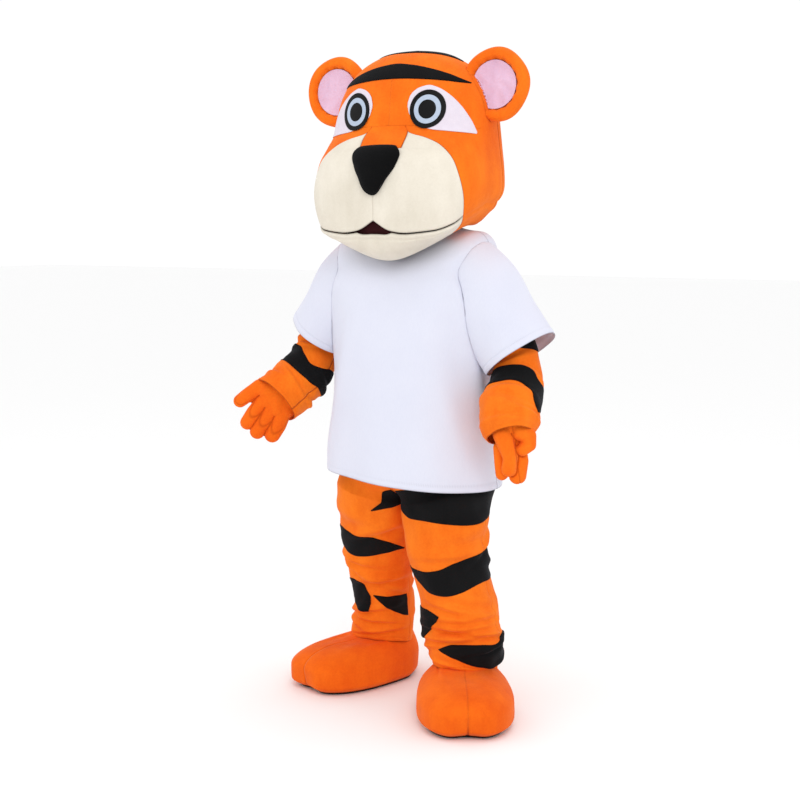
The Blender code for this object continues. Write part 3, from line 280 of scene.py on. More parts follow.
ARM_LEFT = Table(
    "row x y z radius",
    (0, 0.120, -0.008, 1.285, 0.074),
    (1, 0.205, -0.012, 1.225, 0.080),
    (2, 0.290, -0.016, 1.132, 0.072),
    (3, 0.338, -0.020, 1.050, 0.066),
    (4, 0.355, -0.058, 0.965, 0.078),
    (5, 0.360, -0.105, 0.915, 0.086),
    (6, 0.376, -0.134, 0.850, 0.082))
ARM_RIGHT = Table(
    "row x y z radius",
    (0, 0.120, -0.008, 1.285, 0.074),
    (1, 0.205, -0.012, 1.225, 0.080),
    (2, 0.276, -0.018, 1.142, 0.072),
    (3, 0.324, -0.028, 1.064, 0.066),
    (4, 0.345, -0.072, 0.985, 0.076),
    (5, 0.370, -0.118, 0.940, 0.081),
    (6, 0.398, -0.170, 0.898, 0.080))
ARMS = {1: ARM_LEFT, -1: ARM_RIGHT}

# An overshoe from the floor up: reach to the toe and heel, half width, how much it widens to the toe, and the
# dent between its two halves.
FOOT = Table(
    "row z toe heel half taper notch",
    (0, 0.0070, 0.314, 0.094, 0.113, 0.38, 0.019),
    (1, 0.0280, 0.337, 0.104, 0.128, 0.38, 0.016),
    (2, 0.0700, 0.338, 0.106, 0.127, 0.36, 0.010),
    (3, 0.1060, 0.302, 0.101, 0.102, 0.30, 0.005),
    (4, 0.1230, 0.234, 0.095, 0.082, 0.18, 0.002),
    (5, 0.1280, 0.150, 0.088, 0.078, 0.06, 0.0),
    (6, 0.1320, 0.088, 0.080, 0.076, 0.0, 0.0),
    (7, 0.1450, 0.076, 0.074, 0.072, 0.0, 0.0),
    (8, 0.1650, 0.074, 0.072, 0.070, 0.0, 0.0))
SHOE_SQUARE = 0.82       # 1 makes an overshoe's outline an ellipse, less squares it off
STANCE = Table("side x y splay", (-1, -0.190, 0.132, -19.0), (1, 0.176, -0.027, 30.0))

NOSE = Table(
    "down z half rise",
    (0.0, 1.653, 0.040, 0.005), (0.1, 1.642, 0.062, 0.013), (0.28, 1.620, 0.075, 0.018),
    (0.5, 1.590, 0.066, 0.021), (0.72, 1.556, 0.042, 0.021), (0.9, 1.526, 0.023, 0.017),
    (1.0, 1.512, 0.012, 0.012))

# Felt and stripes on the face: heights of the upper and lower edge at each x.
EYE_WHITE = Table(
    "x top bottom",
    (0.058, 1.772, 1.762), (0.064, 1.792, 1.742), (0.076, 1.806, 1.726), (0.092, 1.815, 1.712),
    (0.115, 1.820, 1.700), (0.141, 1.812, 1.694), (0.170, 1.793, 1.691), (0.200, 1.762, 1.688),
    (0.222, 1.726, 1.686), (0.238, 1.688, 1.684))
BROW = Table(
    "x top bottom",
    (-0.206, 1.829, 1.8265), (-0.190, 1.837, 1.8275), (-0.155, 1.853, 1.832), (-0.096, 1.871, 1.837),
    (-0.047, 1.881, 1.840), (0.0, 1.886, 1.841), (0.047, 1.881, 1.840), (0.096, 1.871, 1.837),
    (0.155, 1.853, 1.832), (0.190, 1.837, 1.8275), (0.206, 1.829, 1.8265))
EYE_X, EYE_Z, EYE_WIDE, EYE_HIGH = 0.116, 1.752, 0.050, 0.0545
AROUND = np.linspace(0, 2 * math.pi, 97)            # radians round an eye or an ear

# Stripe over the crown: how far back its rear and front edges lie at each x.
CROWN = Table(
    "x top bottom",
    (-0.150, 0.006, -0.003), (-0.110, 0.014, -0.034), (-0.055, 0.022, -0.062), (0.0, 0.026, -0.072),
    (0.055, 0.022, -0.062), (0.110, 0.014, -0.034), (0.150, 0.006, -0.003))

# Stripes by side: degrees round the leg and heights, and degrees round the arm and rows of its sleeve.
LEG_STRIPES = {
    1: {
        "thigh_l": Table(
            "turn top bottom",
            (5, 0.653, 0.625), (20, 0.660, 0.612), (37, 0.664, 0.592), (60, 0.672, 0.577),
            (88, 0.695, 0.578), (117, 0.705, 0.573), (155, 0.705, 0.566), (188, 0.695, 0.573),
            (215, 0.670, 0.590), (240, 0.640, 0.624)),
        "knee_l": Table(
            "turn top bottom",
            (38, 0.426, 0.423), (46, 0.425, 0.400), (65, 0.424, 0.379), (81, 0.425, 0.360),
            (103, 0.434, 0.357), (131, 0.455, 0.368), (162, 0.472, 0.386), (178, 0.478, 0.389),
            (206, 0.490, 0.387), (240, 0.488, 0.405), (272, 0.452, 0.448)),
        "calf_l": Table(
            "turn top bottom",
            (5, 0.285, 0.225), (25, 0.298, 0.207), (48, 0.303, 0.212), (60, 0.303, 0.235),
            (70, 0.300, 0.254), (86, 0.291, 0.288)),
        "ankle_l": Table(
            "turn top bottom",
            (77, 0.190, 0.187), (88, 0.201, 0.178), (101, 0.209, 0.163), (121, 0.211, 0.144),
            (144, 0.210, 0.132), (163, 0.205, 0.127), (178, 0.212, 0.125), (198, 0.226, 0.134),
            (220, 0.218, 0.165), (236, 0.200, 0.197))},
    -1: {
        "thigh_tip_r": Table(
            "turn top bottom",
            (3, 0.656, 0.606), (22, 0.648, 0.600), (42, 0.624, 0.594), (66, 0.586, 0.583)),
        "thigh_r": Table(
            "turn top bottom",
            (18, 0.448, 0.445), (32, 0.461, 0.443), (48, 0.474, 0.436), (72, 0.487, 0.424),
            (95, 0.497, 0.420), (112, 0.503, 0.428), (132, 0.508, 0.441), (158, 0.508, 0.460),
            (182, 0.500, 0.480), (196, 0.492, 0.489)),
        "shin_outer_r": Table(
            "turn top bottom",
            (83, 0.284, 0.258), (87, 0.294, 0.232), (96, 0.309, 0.230), (110, 0.330, 0.235),
            (124, 0.334, 0.240), (146, 0.328, 0.250), (164, 0.312, 0.267), (178, 0.290, 0.287)),
        "shin_inner_r": Table(
            "turn top bottom",
            (5, 0.281, 0.207), (18, 0.281, 0.213), (32, 0.283, 0.225), (46, 0.285, 0.238),
            (62, 0.288, 0.262), (77, 0.289, 0.286))}}

ARM_STRIPES = {
    1: {
        "band_l": Table(
            "turn top bottom",
            (-180, 3.80, 4.50), (-60, 3.85, 4.75), (-20, 3.90, 5.05), (0, 3.88, 5.30), (14, 3.80, 5.05),
            (32, 3.62, 4.62), (60, 3.46, 4.40), (105, 3.46, 4.48), (150, 3.62, 4.50), (180, 3.80, 4.50)),
        "upper_l": Table(
            "turn top bottom",
            (-68, 2.80, 2.83), (-25, 2.68, 2.96), (0, 2.66, 2.99), (25, 2.72, 2.92), (48, 2.80, 2.84))},
    -1: {
        "band_r": Table(
            "turn top bottom",
            (-180, 3.72, 4.50), (-100, 3.60, 4.40), (0, 3.35, 4.45), (75, 3.45, 4.62), (104, 3.76, 4.68),
            (130, 3.98, 4.72), (158, 3.86, 4.66), (180, 3.72, 4.50))}}


def shirt(angle, row):
    """Outer face of the shirt body at an angle in degrees round from the front."""
    angle, row = paired(angle, row)
    c, s = np.cos(angle * DEG), np.sin(angle * DEG)
    depth = np.where(c >= 0, SHIRT.at(row, "front"), SHIRT.at(row, "back"))
    power = SHIRT.at(row, "square")
    radius = (np.abs(s / SHIRT.at(row, "width")) ** power + np.abs(c / depth) ** power) ** (-1.0 / power)
    side = SHIRT.at(row, "z_side")
    z = side + (np.where(c >= 0, SHIRT.at(row, "z_front"), SHIRT.at(row, "z_back")) - side) * c * c
    z = z - HEM_TILT * s * np.maximum(0.0, (row - 5.0) / 5.0)
    return point(radius * s, -radius * c, z - SHOULDER)


SLEEVE_AXIS = np.array((0.58, 0.0, -0.815))
SLEEVE_OUT = np.array((0.815, 0.0, 0.58))


def shirt_sleeve(side, turn, row):
    """Set-in sleeve; turn in degrees from the outer top edge towards the front."""
    turn, row = paired(turn, row)
    sizes = SLEEVES[side]
    centre = spine_of(sizes, 1, row)
    across = SLEEVE_OUT * (sizes.at(row, "out") * np.cos(turn * DEG))[..., None]
    forward = np.array((0.0, -1.0, 0.0)) * (sizes.at(row, "deep") * np.sin(turn * DEG))[..., None]
    return (centre + across + forward) * np.array((side, 1.0, 1.0))


def suit(side, turn, row):
    """Outer face of the suit.  turn runs 0 inseam, 90 front, 180 outside, 270 back, 360 inseam."""
    turn, row = paired(turn, row)
    front = turn <= 180.0
    across = np.where(front, turn, 360.0 - turn) * DEG
    c, s = np.cos(across), np.sin(across)
    near, far = (1 + c) / 2, (1 - c) / 2
    high = np.minimum(row, 6.0)
    depth = np.where(front, -TORSO.at(high, "front"), TORSO.at(high, "back"))
    low, edge = TORSO.at(high, "z_mid"), TORSO.at(high, "z_side")
    low = np.where(front, low, mix(low, edge, 0.7))
    torso = point(TORSO.at(high, "width") * np.sin(across / 2), depth * np.cos(across / 2),
                  mix(low, edge, np.sin(across / 2) ** 2))
    deep, leg = np.maximum(row, 7.0), LEGS[side]
    y = leg.at(deep, "y_in") * near + leg.at(deep, "y_out") * far
    full = np.maximum(s, 1e-6) ** np.where(c > 0, mix(0.42, 1.0, step(row, 7.6, 10.6)), 1.0)
    y = y + np.where(front, -leg.at(deep, "front") * full, leg.at(deep, "back") * s)
    limb = point(leg.at(deep, "x_in") * near + leg.at(deep, "x_out") * far, y,
                 leg.at(deep, "z_in") * near + leg.at(deep, "z") * far)
    place = mix(torso, limb, np.clip(row - 6.0, 0.0, 1.0)[..., None])
    place = place * np.array((side, 1.0, 1.0)) - np.array((0.0, 0.0, SHOULDER))
    return place + np.array((side * 0.0004, 0.0, 0.0))


def suit_core(side):
    def core(here):
        leg, z = LEGS[side], here[..., 2] + SHOULDER
        rows = np.linspace(7.0, 16.0, 60)
        row = np.interp(-z, -leg.at(rows, "z"), rows)
        x = side * (leg.at(row, "x_in") + leg.at(row, "x_out")) / 2 * step(z, 0.70, 0.62)
        return point(x, leg.at(row, "y_in") * step(z, 0.70, 0.62), here[..., 2])
    return core


def leg_row(side, turn, z):
    """Row of the suit at a turn and a height above the floor."""
    low, high = np.full(np.shape(turn), 6.0), np.full(np.shape(turn), 16.0)
    for _ in range(30):
        middle = (low + high) / 2
        above = suit(side, turn, middle)[..., 2] + SHOULDER > z
        low, high = np.where(above, middle, low), np.where(above, high, middle)
    return low


def arm_centre(side, row):
    return spine_of(ARMS[side], side, row)


def arm(side, turn, row):
    """Suit sleeve; turn in degrees from the outside of the arm towards the front."""
    turn, row = paired(turn, row)
    centre = arm_centre(side, row)
    axis = unit(arm_centre(side, np.minimum(6.0, row + 0.35)) - arm_centre(side, np.maximum(0.0, row - 0.35)))
    outward = unit(np.array((side, 0.0, 0.0)) - axis * (axis[..., :1] * side))
    forward = np.cross(outward, axis) * side
    forward = np.where(forward[..., 1:2] > 0, -forward, forward)
    swing = outward * np.cos(turn * DEG)[..., None] + forward * np.sin(turn * DEG)[..., None]
    return centre + swing * ARMS[side].at(row, "radius")[..., None]


def arm_core(side):
    spine = arm_centre(side, np.linspace(0, 6, 61))
    return lambda here: nearest_on(spine, here)


def sleeve_core(side):
    spine = spine_of(SLEEVES[side], side, np.linspace(0, 3, 31))
    return lambda here: nearest_on(spine, here)


def foot(side, turn, row):
    """Overshoe; turn in degrees from the toe, positive towards the figure's left."""
    turn, row = paired(turn, row)
    c, s = np.cos(turn * DEG), np.sin(turn * DEG)
    reach = np.where(c >= 0, FOOT.at(row, "toe"), FOOT.at(row, "heel"))
    wrapped = (turn + 180.0) % 360.0 - 180.0
    c, s = np.sign(c) * np.abs(c) ** SHOE_SQUARE, np.sign(s) * np.abs(s) ** SHOE_SQUARE
    along = reach * c - FOOT.at(row, "notch") * np.exp(-(wrapped / 11.0) ** 2)
    across = FOOT.at(row, "half") * (1 + FOOT.at(row, "taper") * c) * s
    x0, y0, splay = (float(STANCE.at(side, name)) for name in ("x", "y", "splay"))
    sin, cos = math.sin(splay * DEG), math.cos(splay * DEG)
    return point(x0 + along * sin + across * cos, y0 - along * cos + across * sin,
                 FOOT.at(row, "z") - SHOULDER)


def foot_core(side):
    middle = np.array((float(STANCE.at(side, "x")), float(STANCE.at(side, "y")), 0.06 - SHOULDER))
    return lambda here: middle


# ------------------------------------------------------------------ finishes
class Signal:
    """One output of a material's nodes; sums and products of signals add Math nodes."""

    def __init__(self, finish, socket):
        self.finish, self.socket = finish, socket

    def sum(self, operation, *values):
        return self.finish.node("ShaderNodeMath", {"operation": operation}, dict(enumerate(values)))

    def __add__(self, other):
        return self.sum("ADD", self, other)

    def __radd__(self, other):
        return self.sum("ADD", other, self)

    def __sub__(self, other):
        return self.sum("SUBTRACT", self, other)

    def __rsub__(self, other):
        return self.sum("SUBTRACT", other, self)

    def __mul__(self, other):
        return self.sum("MULTIPLY", self, other)

    def __rmul__(self, other):
        return self.sum("MULTIPLY", other, self)

    def held(self):
        """Kept between 0 and 1."""
        return self.sum("MINIMUM", self.sum("MAXIMUM", self, 0.0), 1.0)

    def rise(self, low, high):
        """0 below low, 1 above high, smooth between."""
        return self.finish.node("ShaderNodeMapRange", {"interpolation_type": "SMOOTHSTEP"},
                                {"Value": self, "From Min": low, "From Max": high})


class Finish:
    """A cloth's material, built up from nodes."""

    def __init__(self, name, roughness=0.9, sheen=0.0, tint=(1.0, 1.0, 1.0)):
        self.material = bpy.data.materials.new(name)
        self.material.use_nodes = True
        self.tree = self.material.node_tree
        self.shader = self.tree.nodes["Principled BSDF"]
        for socket, value in (("Roughness", roughness), ("Sheen Weight", sheen), ("Sheen Tint", tint + (1.0,)),
                              ("Sheen Roughness", 0.4), ("Specular IOR Level", 0.12)):
            self.shader.inputs[socket].default_value = value

    def node(self, kind, settings=None, inputs=None, out=0):
        made = self.tree.nodes.new(kind)
        for name, value in (settings or {}).items():
            setattr(made, name, value)
        for name, value in (inputs or {}).items():
            if isinstance(value, Signal):
                self.tree.links.new(value.socket, made.inputs[name])
            elif isinstance(value, tuple) and len(value) == 3 and made.inputs[name].type == "RGBA":
                made.inputs[name].default_value = value + (1.0,)
            else:
                made.inputs[name].default_value = value
        return Signal(self, made.outputs[out])

    def place(self):
        return self.node("ShaderNodeTexCoord", out="Object")

    def measure(self, name):
        """A length or share stored on the piece's own points."""
        return self.node("ShaderNodeAttribute", {"attribute_name": name}, out="Fac")

    def noise(self, scale, detail=2.0, stretch=None, roughness=0.5):
        where = self.place()
        if stretch:
            where = self.node("ShaderNodeMapping", {}, {"Vector": where, "Scale": stretch})
        return self.node("ShaderNodeTexNoise", {"noise_dimensions": "3D"},
                         {"Vector": where, "Scale": scale, "Detail": detail, "Roughness": roughness}, out="Fac")

    def blend(self, share, first, second):
        """Colour that goes from first to second."""
        made = self.tree.nodes.new("ShaderNodeMix")
        made.data_type = "RGBA"
        for socket, value in ((made.inputs[0], share), (made.inputs[6], first), (made.inputs[7], second)):
            if isinstance(value, Signal):
                self.tree.links.new(value.socket, socket)
            else:
                socket.default_value = value + (1.0,) if isinstance(value, tuple) else value
        return Signal(self, made.outputs[2])

    def bump(self, height, strength, distance):
        normal = self.node("ShaderNodeBump", {}, {"Height": height, "Strength": strength, "Distance": distance})
        self.tree.links.new(normal.socket, self.shader.inputs["Normal"])
        return self

    def feed(self, name, signal):
        """Links a signal to the shader."""
        self.tree.links.new(signal.socket, self.shader.inputs[name])
        return self


def plush(name, lit, deep, pile=1.0, sheen=0.12, tint=(1.0, 0.75, 0.5), roughness=0.92):
    """Short-nap plush: brushed patches, lumpy pile, fine fibres, and painted shade down in the seams."""
    made = Finish(name, roughness, sheen, tint)
    brushed, lumps, fibres = made.noise(6.5, 2), made.noise(150, 3), made.noise(1100, 2)
    streaks = made.noise(30, 3, (1.0, 1.0, 0.35))
    share = 0.5 + (brushed - 0.5) * 1.5 + (streaks - 0.5) * 0.9 + (lumps - 0.5) * 0.55 + (fibres - 0.5) * 0.7
    # painted shade: towards each seam the colour darkens to two thirds of the deep tone
    valley = made.measure("seam").rise(0.0, 0.0045)
    seam_shade_colour = tuple(0.66 * channel for channel in deep)
    made.feed("Base Color", made.blend(valley, seam_shade_colour, made.blend(share.held(), deep, lit)))
    made.feed("Roughness", (roughness - 0.08) + share.held() * 0.12)
    return made.bump(fibres * 0.6 + lumps * 0.9 + streaks * 0.5, 0.45 * pile, 0.0016).material


def felt(name, lit, deep, roughness=0.75, sheen=0.1):
    """Pressed felt: close flecks and a faint fibre grain."""
    made = Finish(name, roughness, sheen)
    flecks, grain = made.noise(420, 3), made.noise(60, 3)
    share = (0.5 + (flecks - 0.5) * 1.1 + (grain - 0.5) * 0.9).held()
    made.feed("Base Color", made.blend(share, deep, lit))
    return made.bump(flecks + grain * 0.5, 0.25, 0.0006).material


def jersey(name, lit, deep):
    """Cotton jersey: fine ribs up the cloth, softly clouded, with stitched hems, and painted shade along its seams
    and in its stitches.
    """
    made = Finish(name, 0.85, 0.18)
    along, up = made.measure("run"), made.measure("rise")
    ribs = (along * 5200.0).sum("SINE", along * 5200.0) * 0.5 + 0.5
    loops = (up * 3900.0).sum("SINE", up * 3900.0) * 0.5 + 0.5
    cloud, slub = made.noise(5, 2), made.noise(260, 2, (1.0, 1.0, 0.3))
    share = (0.5 + (cloud - 0.5) * 0.9 + (slub - 0.5) * 0.5 + (ribs - 0.5) * 0.12).held()
    stitch = made.measure("stitch")
    dash = ((along * 1250.0).sum("SINE", along * 1250.0)).rise(-0.35, 0.1) * stitch
    # painted shade: towards each seam the colour darkens to 0.72 of the deep tone
    edge = made.measure("seam").rise(0.0, 0.003)
    colour = made.blend(share, deep, lit)
    colour = made.blend(edge, tuple(0.72 * channel for channel in deep), colour)
    # painted shade in the dented stitching: the stitch dashes are darkened towards the deep tone
    made.feed("Base Color", made.blend(dash * 0.5, colour, tuple(0.80 * channel for channel in deep)))
    return made.bump(ribs * 0.30 + loops * 0.22 + slub * 0.35 - dash * 1.1, 0.30, 0.0007).material


# ------------------------------------------------------------------ making pieces
LEAST_FILL = 0.3         # least share of its flat rectangle that a sheet is taken to fill


def lengths(places):
    """Distances along the cloth from its four edges: left, right, top and bottom."""
    across = np.linalg.norm(np.diff(places, axis=1), axis=2)
    down = np.linalg.norm(np.diff(places, axis=0), axis=2)
    left = np.concatenate((np.zeros((places.shape[0], 1)), np.cumsum(across, axis=1)), axis=1)
    top = np.concatenate((np.zeros((1, places.shape[1])), np.cumsum(down, axis=0)), axis=0)
    return left, left[:, -1:] - left, top, top[-1:] - top


def grid_on(form, places):
    """A grid of faces in the bmesh, one vertex to each place, numbered row by row."""
    rows, columns = places.shape[:2]
    bmesh.ops.create_grid(form, x_segments=columns - 1, y_segments=rows - 1, size=0.5)
    for vert in form.verts:
        column, row = round((vert.co.x + 0.5) * (columns - 1)), round((0.5 - vert.co.y) * (rows - 1))
        vert.co = places[row, column]
        vert.index = row * columns + column


def cloth(name, places, finish, wall, core, closed=False, tuck="lrtb",
          depth=0.0016, reach=0.004, stitched=(), soft=None, hidden=0.0):
    """One cut piece: a grid laid over its form, drawn in at its seams and given its thickness.

    tuck names the edges that are sewn (left, right, top, bottom), and a seam is drawn in by depth over
    reach; stitched gives (edge, distance) rows of stitching; soft, if given, marks a padded piece, but its
    value, how full the piece is, is not used; hidden is how far its side seams show less.
    """
    rows, columns = places.shape[:2]
    normal = unit(np.cross(np.gradient(places, axis=1), np.gradient(places, axis=0)))
    if np.sum(normal * (places - core(places))) < 0:
        normal = -normal
    gaps = dict(zip("lrtb", lengths(places)))
    seam = np.full((rows, columns), 0.05)
    for edge in tuck:
        seam = np.minimum(seam, gaps[edge] + (hidden if edge in "lr" else 0.0))
    thread = np.zeros((rows, columns))
    drop = depth * bell(seam, reach)
    for edge, distance in stitched:
        line = bell(gaps[edge] - distance, 0.0016)
        thread = np.maximum(thread, line)
        drop = drop + 0.0010 * line - 0.0007 * step(gaps[edge], distance, distance - 0.003)
    places = places - normal * drop[..., None]
    # the seam distance is stored on the points; the plush and jersey finishes paint shade near it
    measures = {"seam": seam, "stitch": thread, "run": gaps["l"], "rise": gaps["t"]}
    form = bmesh.new()
    layers = {key: form.verts.layers.float.new(key) for key in measures}
    sheet_map = form.loops.layers.uv.new("cloth")
    grid_on(form, places)
    for vert in form.verts:
        for key, layer in layers.items():
            vert[layer] = measures[key].flat[vert.index]
    for face in form.faces:
        for loop in face.loops:
            loop[sheet_map].uv = (gaps["l"].flat[loop.vert.index], gaps["t"].flat[loop.vert.index])
    if closed:
        bmesh.ops.remove_doubles(form, verts=form.verts, dist=1e-5)
    form.normal_update()
    inward = 0.0
    for face in form.faces:
        middle = face.calc_center_median()
        inward += face.normal.dot(Vector(np.broadcast_to(core(np.array(middle)), 3)) - middle)
    if inward > 0:
        bmesh.ops.reverse_faces(form, faces=form.faces)
    piece = finished(name, form, finish)
    if wall:
        walled(piece, wall)
    if soft is not None:
        return piece
    wide, tall = float(gaps["l"][:, -1].max()), float(gaps["t"][-1].max())
    corner = places[:-1, :-1]
    cells = np.linalg.norm(np.cross(places[1:, :-1] - corner, places[:-1, 1:] - corner), axis=2)
    area = min(max(float(cells.sum()), LEAST_FILL * wide * tall), wide * tall)
    return piece


def walled(piece, wall):
    """Gives the cloth its thickness, inwards from its outer face."""
    walls = piece.modifiers.new("wall", "SOLIDIFY")
    walls.thickness, walls.offset = wall, -1.0


def finished(name, form, finish, nodes=None):
    """A bmesh turned into a named piece that rides on the costume and stands for its CAD nodes."""
    mesh = bpy.data.meshes.new("soft_" + name)
    form.to_mesh(mesh)
    form.free()
    mesh.polygons.foreach_set("use_smooth", [True] * len(mesh.polygons))
    mesh.materials.append(finish)
    piece = bpy.data.objects.new("soft_" + name, mesh)
    bpy.context.scene.collection.objects.link(piece)
    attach(piece, "root")
    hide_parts(*(nodes or [name]))
    return piece


def reworked(piece, change):
    """Changes the piece's mesh as a bmesh."""
    form = bmesh.new()
    form.from_mesh(piece.data)
    change(form)
    form.to_mesh(piece.data)
    form.free()


def raised(form, keys, core, amount):
    """Points of a form moved out along its normals."""
    u, v = keys
    return form(u, v) + facing(form, u, v, core) * np.asarray(amount)[..., None]


def drawn(table, across, down):
    """Stations and heights over a shape drawn as a table of tops and bottoms."""
    station, share = np.meshgrid(across, down)
    return station, mix(table.at(station, "top"), table.at(station, "bottom"), share)


def baked(piece):
    """The piece with its modifiers worked into its mesh."""
    graph = bpy.context.evaluated_depsgraph_get()
    mesh = bpy.data.meshes.new_from_object(piece.evaluated_get(graph))
    old = piece.data
    piece.modifiers.clear()
    piece.data = mesh
    bpy.data.meshes.remove(old)
    mesh.name = piece.name
    return piece


# ------------------------------------------------------------------ materials of this costume
NEUTRAL = (1.0, 1.0, 1.0)
ORANGE = plush("orange_plush", (0.94, 0.205, 0.012), (0.78, 0.112, 0.004))
SUIT_ORANGE = plush("orange_suit_plush", (0.95, 0.222, 0.014), (0.80, 0.125, 0.005), 0.8)
PAW_ORANGE = plush("orange_paw_plush", (0.92, 0.165, 0.008), (0.75, 0.088, 0.003), 0.8)
HAND_ORANGE = plush("orange_hand_plush", (0.95, 0.195, 0.011), (0.80, 0.105, 0.004), 0.8)
CREAM = plush("cream_plush", (0.80, 0.745, 0.645), (0.68, 0.625, 0.525), 1.0, 0.12, NEUTRAL)
BLACK = plush("black_plush", (0.0075, 0.0075, 0.0080), (0.0030, 0.0030, 0.0034), 1.0, 0.05, (0.7, 0.75, 0.9))
PINK = plush("pink_plush", (0.78, 0.56, 0.72), (0.62, 0.40, 0.56), 0.8, 0.12, NEUTRAL)
MAROON = felt("maroon_mouth", (0.050, 0.007, 0.010), (0.020, 0.003, 0.004), 0.8, 0.03)
WHITE = felt("white_felt", (0.76, 0.70, 0.78), (0.67, 0.60, 0.69), 0.7)
EYE_BLACK = felt("black_eye_felt", (0.0070, 0.0072, 0.0080), (0.0030, 0.0032, 0.0036), 0.5, 0.0)
EYE_BLUE = felt("blue_grey_felt", (0.50, 0.58, 0.71), (0.38, 0.46, 0.58), 0.5, 0.02)
JERSEY = jersey("white_jersey", (0.730, 0.745, 0.840), (0.650, 0.665, 0.780))
SOLE = felt("dark_sole", (0.030, 0.020, 0.017), (0.012, 0.009, 0.008), 0.7)

# ------------------------------------------------------------------ head
FACE_ROWS = np.concatenate((eased(HEAD_FIRST, BRIDGE_TOP, 62, 0.35), eased(BRIDGE_TOP + 0.02, HEAD_LAST, 84, 0.3)))


def seam_angle(row):
    return np.where(row <= BRIDGE_TOP, 0.0, MUZZLE_SEAM.at(row, "angle"))


def cheek_seams(angle, row):
    """Seams that cross the orange face: cheek to jaw, and the soft crease over the snout."""
    turn = np.abs(angle)
    jaw_line = 9.25 - 0.006 * (turn - 57)
    valley = 0.0022 * bell(row - jaw_line, 0.10) * step(turn, 56, 60)
    puff = 0.0020 * (bell(row - jaw_line - 0.45, 0.3) + bell(row - jaw_line + 0.45, 0.3)) * step(turn, 58, 70)
    return puff - valley


def head_cloth(angle, row):
    angle, row = paired(angle, row)
    return raised(head, (angle, row), head_core, cheek_seams(angle, row))


for side, tag in SIDES:
    u, v = np.meshgrid(eased(0, 1, 58, 0.5), FACE_ROWS)
    face = head_cloth(side * mix(seam_angle(v), SIDE_SEAM, u), v)
    plain = (0.0016 + 0.012 * step(v, BRIDGE_TOP + 0.4, BRIDGE_TOP - 0.1)) * step(u, 0.6, 0.4)
    cloth("head_face_" + tag, face, ORANGE, HEAD_WALL, head_core, hidden=plain)

    u, v = np.meshgrid(eased(0, 1, 46, 0.4), eased(HEAD_FIRST, HEAD_LAST, 110, 0.3))
    back = head_cloth(side * mix(SIDE_SEAM, 180.0, u), v)
    cloth("head_back_" + tag, back, ORANGE, HEAD_WALL, head_core)

    u, v = np.meshgrid(eased(0, 1, 56, 0.4), eased(MUZZLE_TOP + 0.01, MOUTH, 70, 0.4))
    inner = np.where(v <= BRIDGE_END, BRIDGE.at(v, "angle"), 0.0)
    angle = side * mix(inner, seam_angle(v), u)
    plump = 0.003 * np.sin(math.pi * u) ** 0.6 * step(v, 5.4, 6.6) * step(v, 9.0, 8.3)
    plain = mix(0.0016, 0.0045 * step(v, BRIDGE_END, BRIDGE_END + 0.2), step(u, 0.6, 0.4))
    cloth("muzzle_" + tag, raised(head, (angle, v), head_core, plump), CREAM, HEAD_WALL, head_core, hidden=plain)

u, v = np.meshgrid(eased(-1, 1, 36, 0.4), eased(BRIDGE_TOP + 0.02, BRIDGE_END, 34, 0.3))
cloth("snout_bridge", head(BRIDGE.at(v, "angle") * u, v), ORANGE, HEAD_WALL, head_core, tuck="lrb",
      depth=0.0008)


def jaw(angle, row):
    """The jaw stands a little behind the upper lip and meets the face flush at its sides."""
    here = head(angle, row)
    back = 0.0075 * np.maximum(0.0, 1 - (np.abs(angle) / 42.0) ** 2) * np.maximum(0.0, 1 - (row - MOUTH) / 3.0)
    flat = unit(here * np.array((1.0, 1.0, 0.0)))
    return here - flat * back[..., None]


u, v = np.meshgrid(eased(-1, 1, 90, 0.3), eased(MOUTH, HEAD_LAST, 56, 0.35))
angle = seam_angle(v) * u
opening = 0.62 * np.maximum(0.0, 1 - np.abs(angle) / 13.0) + 0.05 * step(1 - np.abs(u), 0.0, 0.02)
row = v + opening * (HEAD_LAST - v) / (HEAD_LAST - MOUTH)
roll = 0.0030 * bell(v - MOUTH - 0.16, 0.13) - 0.0014 * bell(v - MOUTH - 0.42, 0.09)
cloth("jaw", raised(jaw, (angle, row), head_core, roll * step(1 - np.abs(u), 0.0, 0.06)), CREAM, HEAD_WALL,
      head_core)
u, v = np.meshgrid(np.linspace(-21, 21, 40), np.linspace(8.55, 10.3, 16))
MOUTH_DEPTH = 0.018      # the dark cloth lies this far in behind the lips
cloth("mouth_cloth", raised(head, (u, v), head_core, np.full(u.shape, -MOUTH_DEPTH)), MAROON, FELT_WALL,
      head_core, tuck="")


def on_head(name, table, finish, lift, side=1, size=(60, 26), locate=head_at):
    """A flat piece sewn on the head, drawn as a table of tops and bottoms."""
    first, last = table.span()
    station, height = drawn(table, eased(first, last, size[0], 0.75), eased(0, 1, size[1], 0.6))
    keys = locate(side * station, height)
    places = raised(head_cloth, keys, head_core, np.full(station.shape, lift + FELT_WALL))
    cloth(name, places, finish, FELT_WALL, head_core, depth=0.0010,
          reach=0.0016)


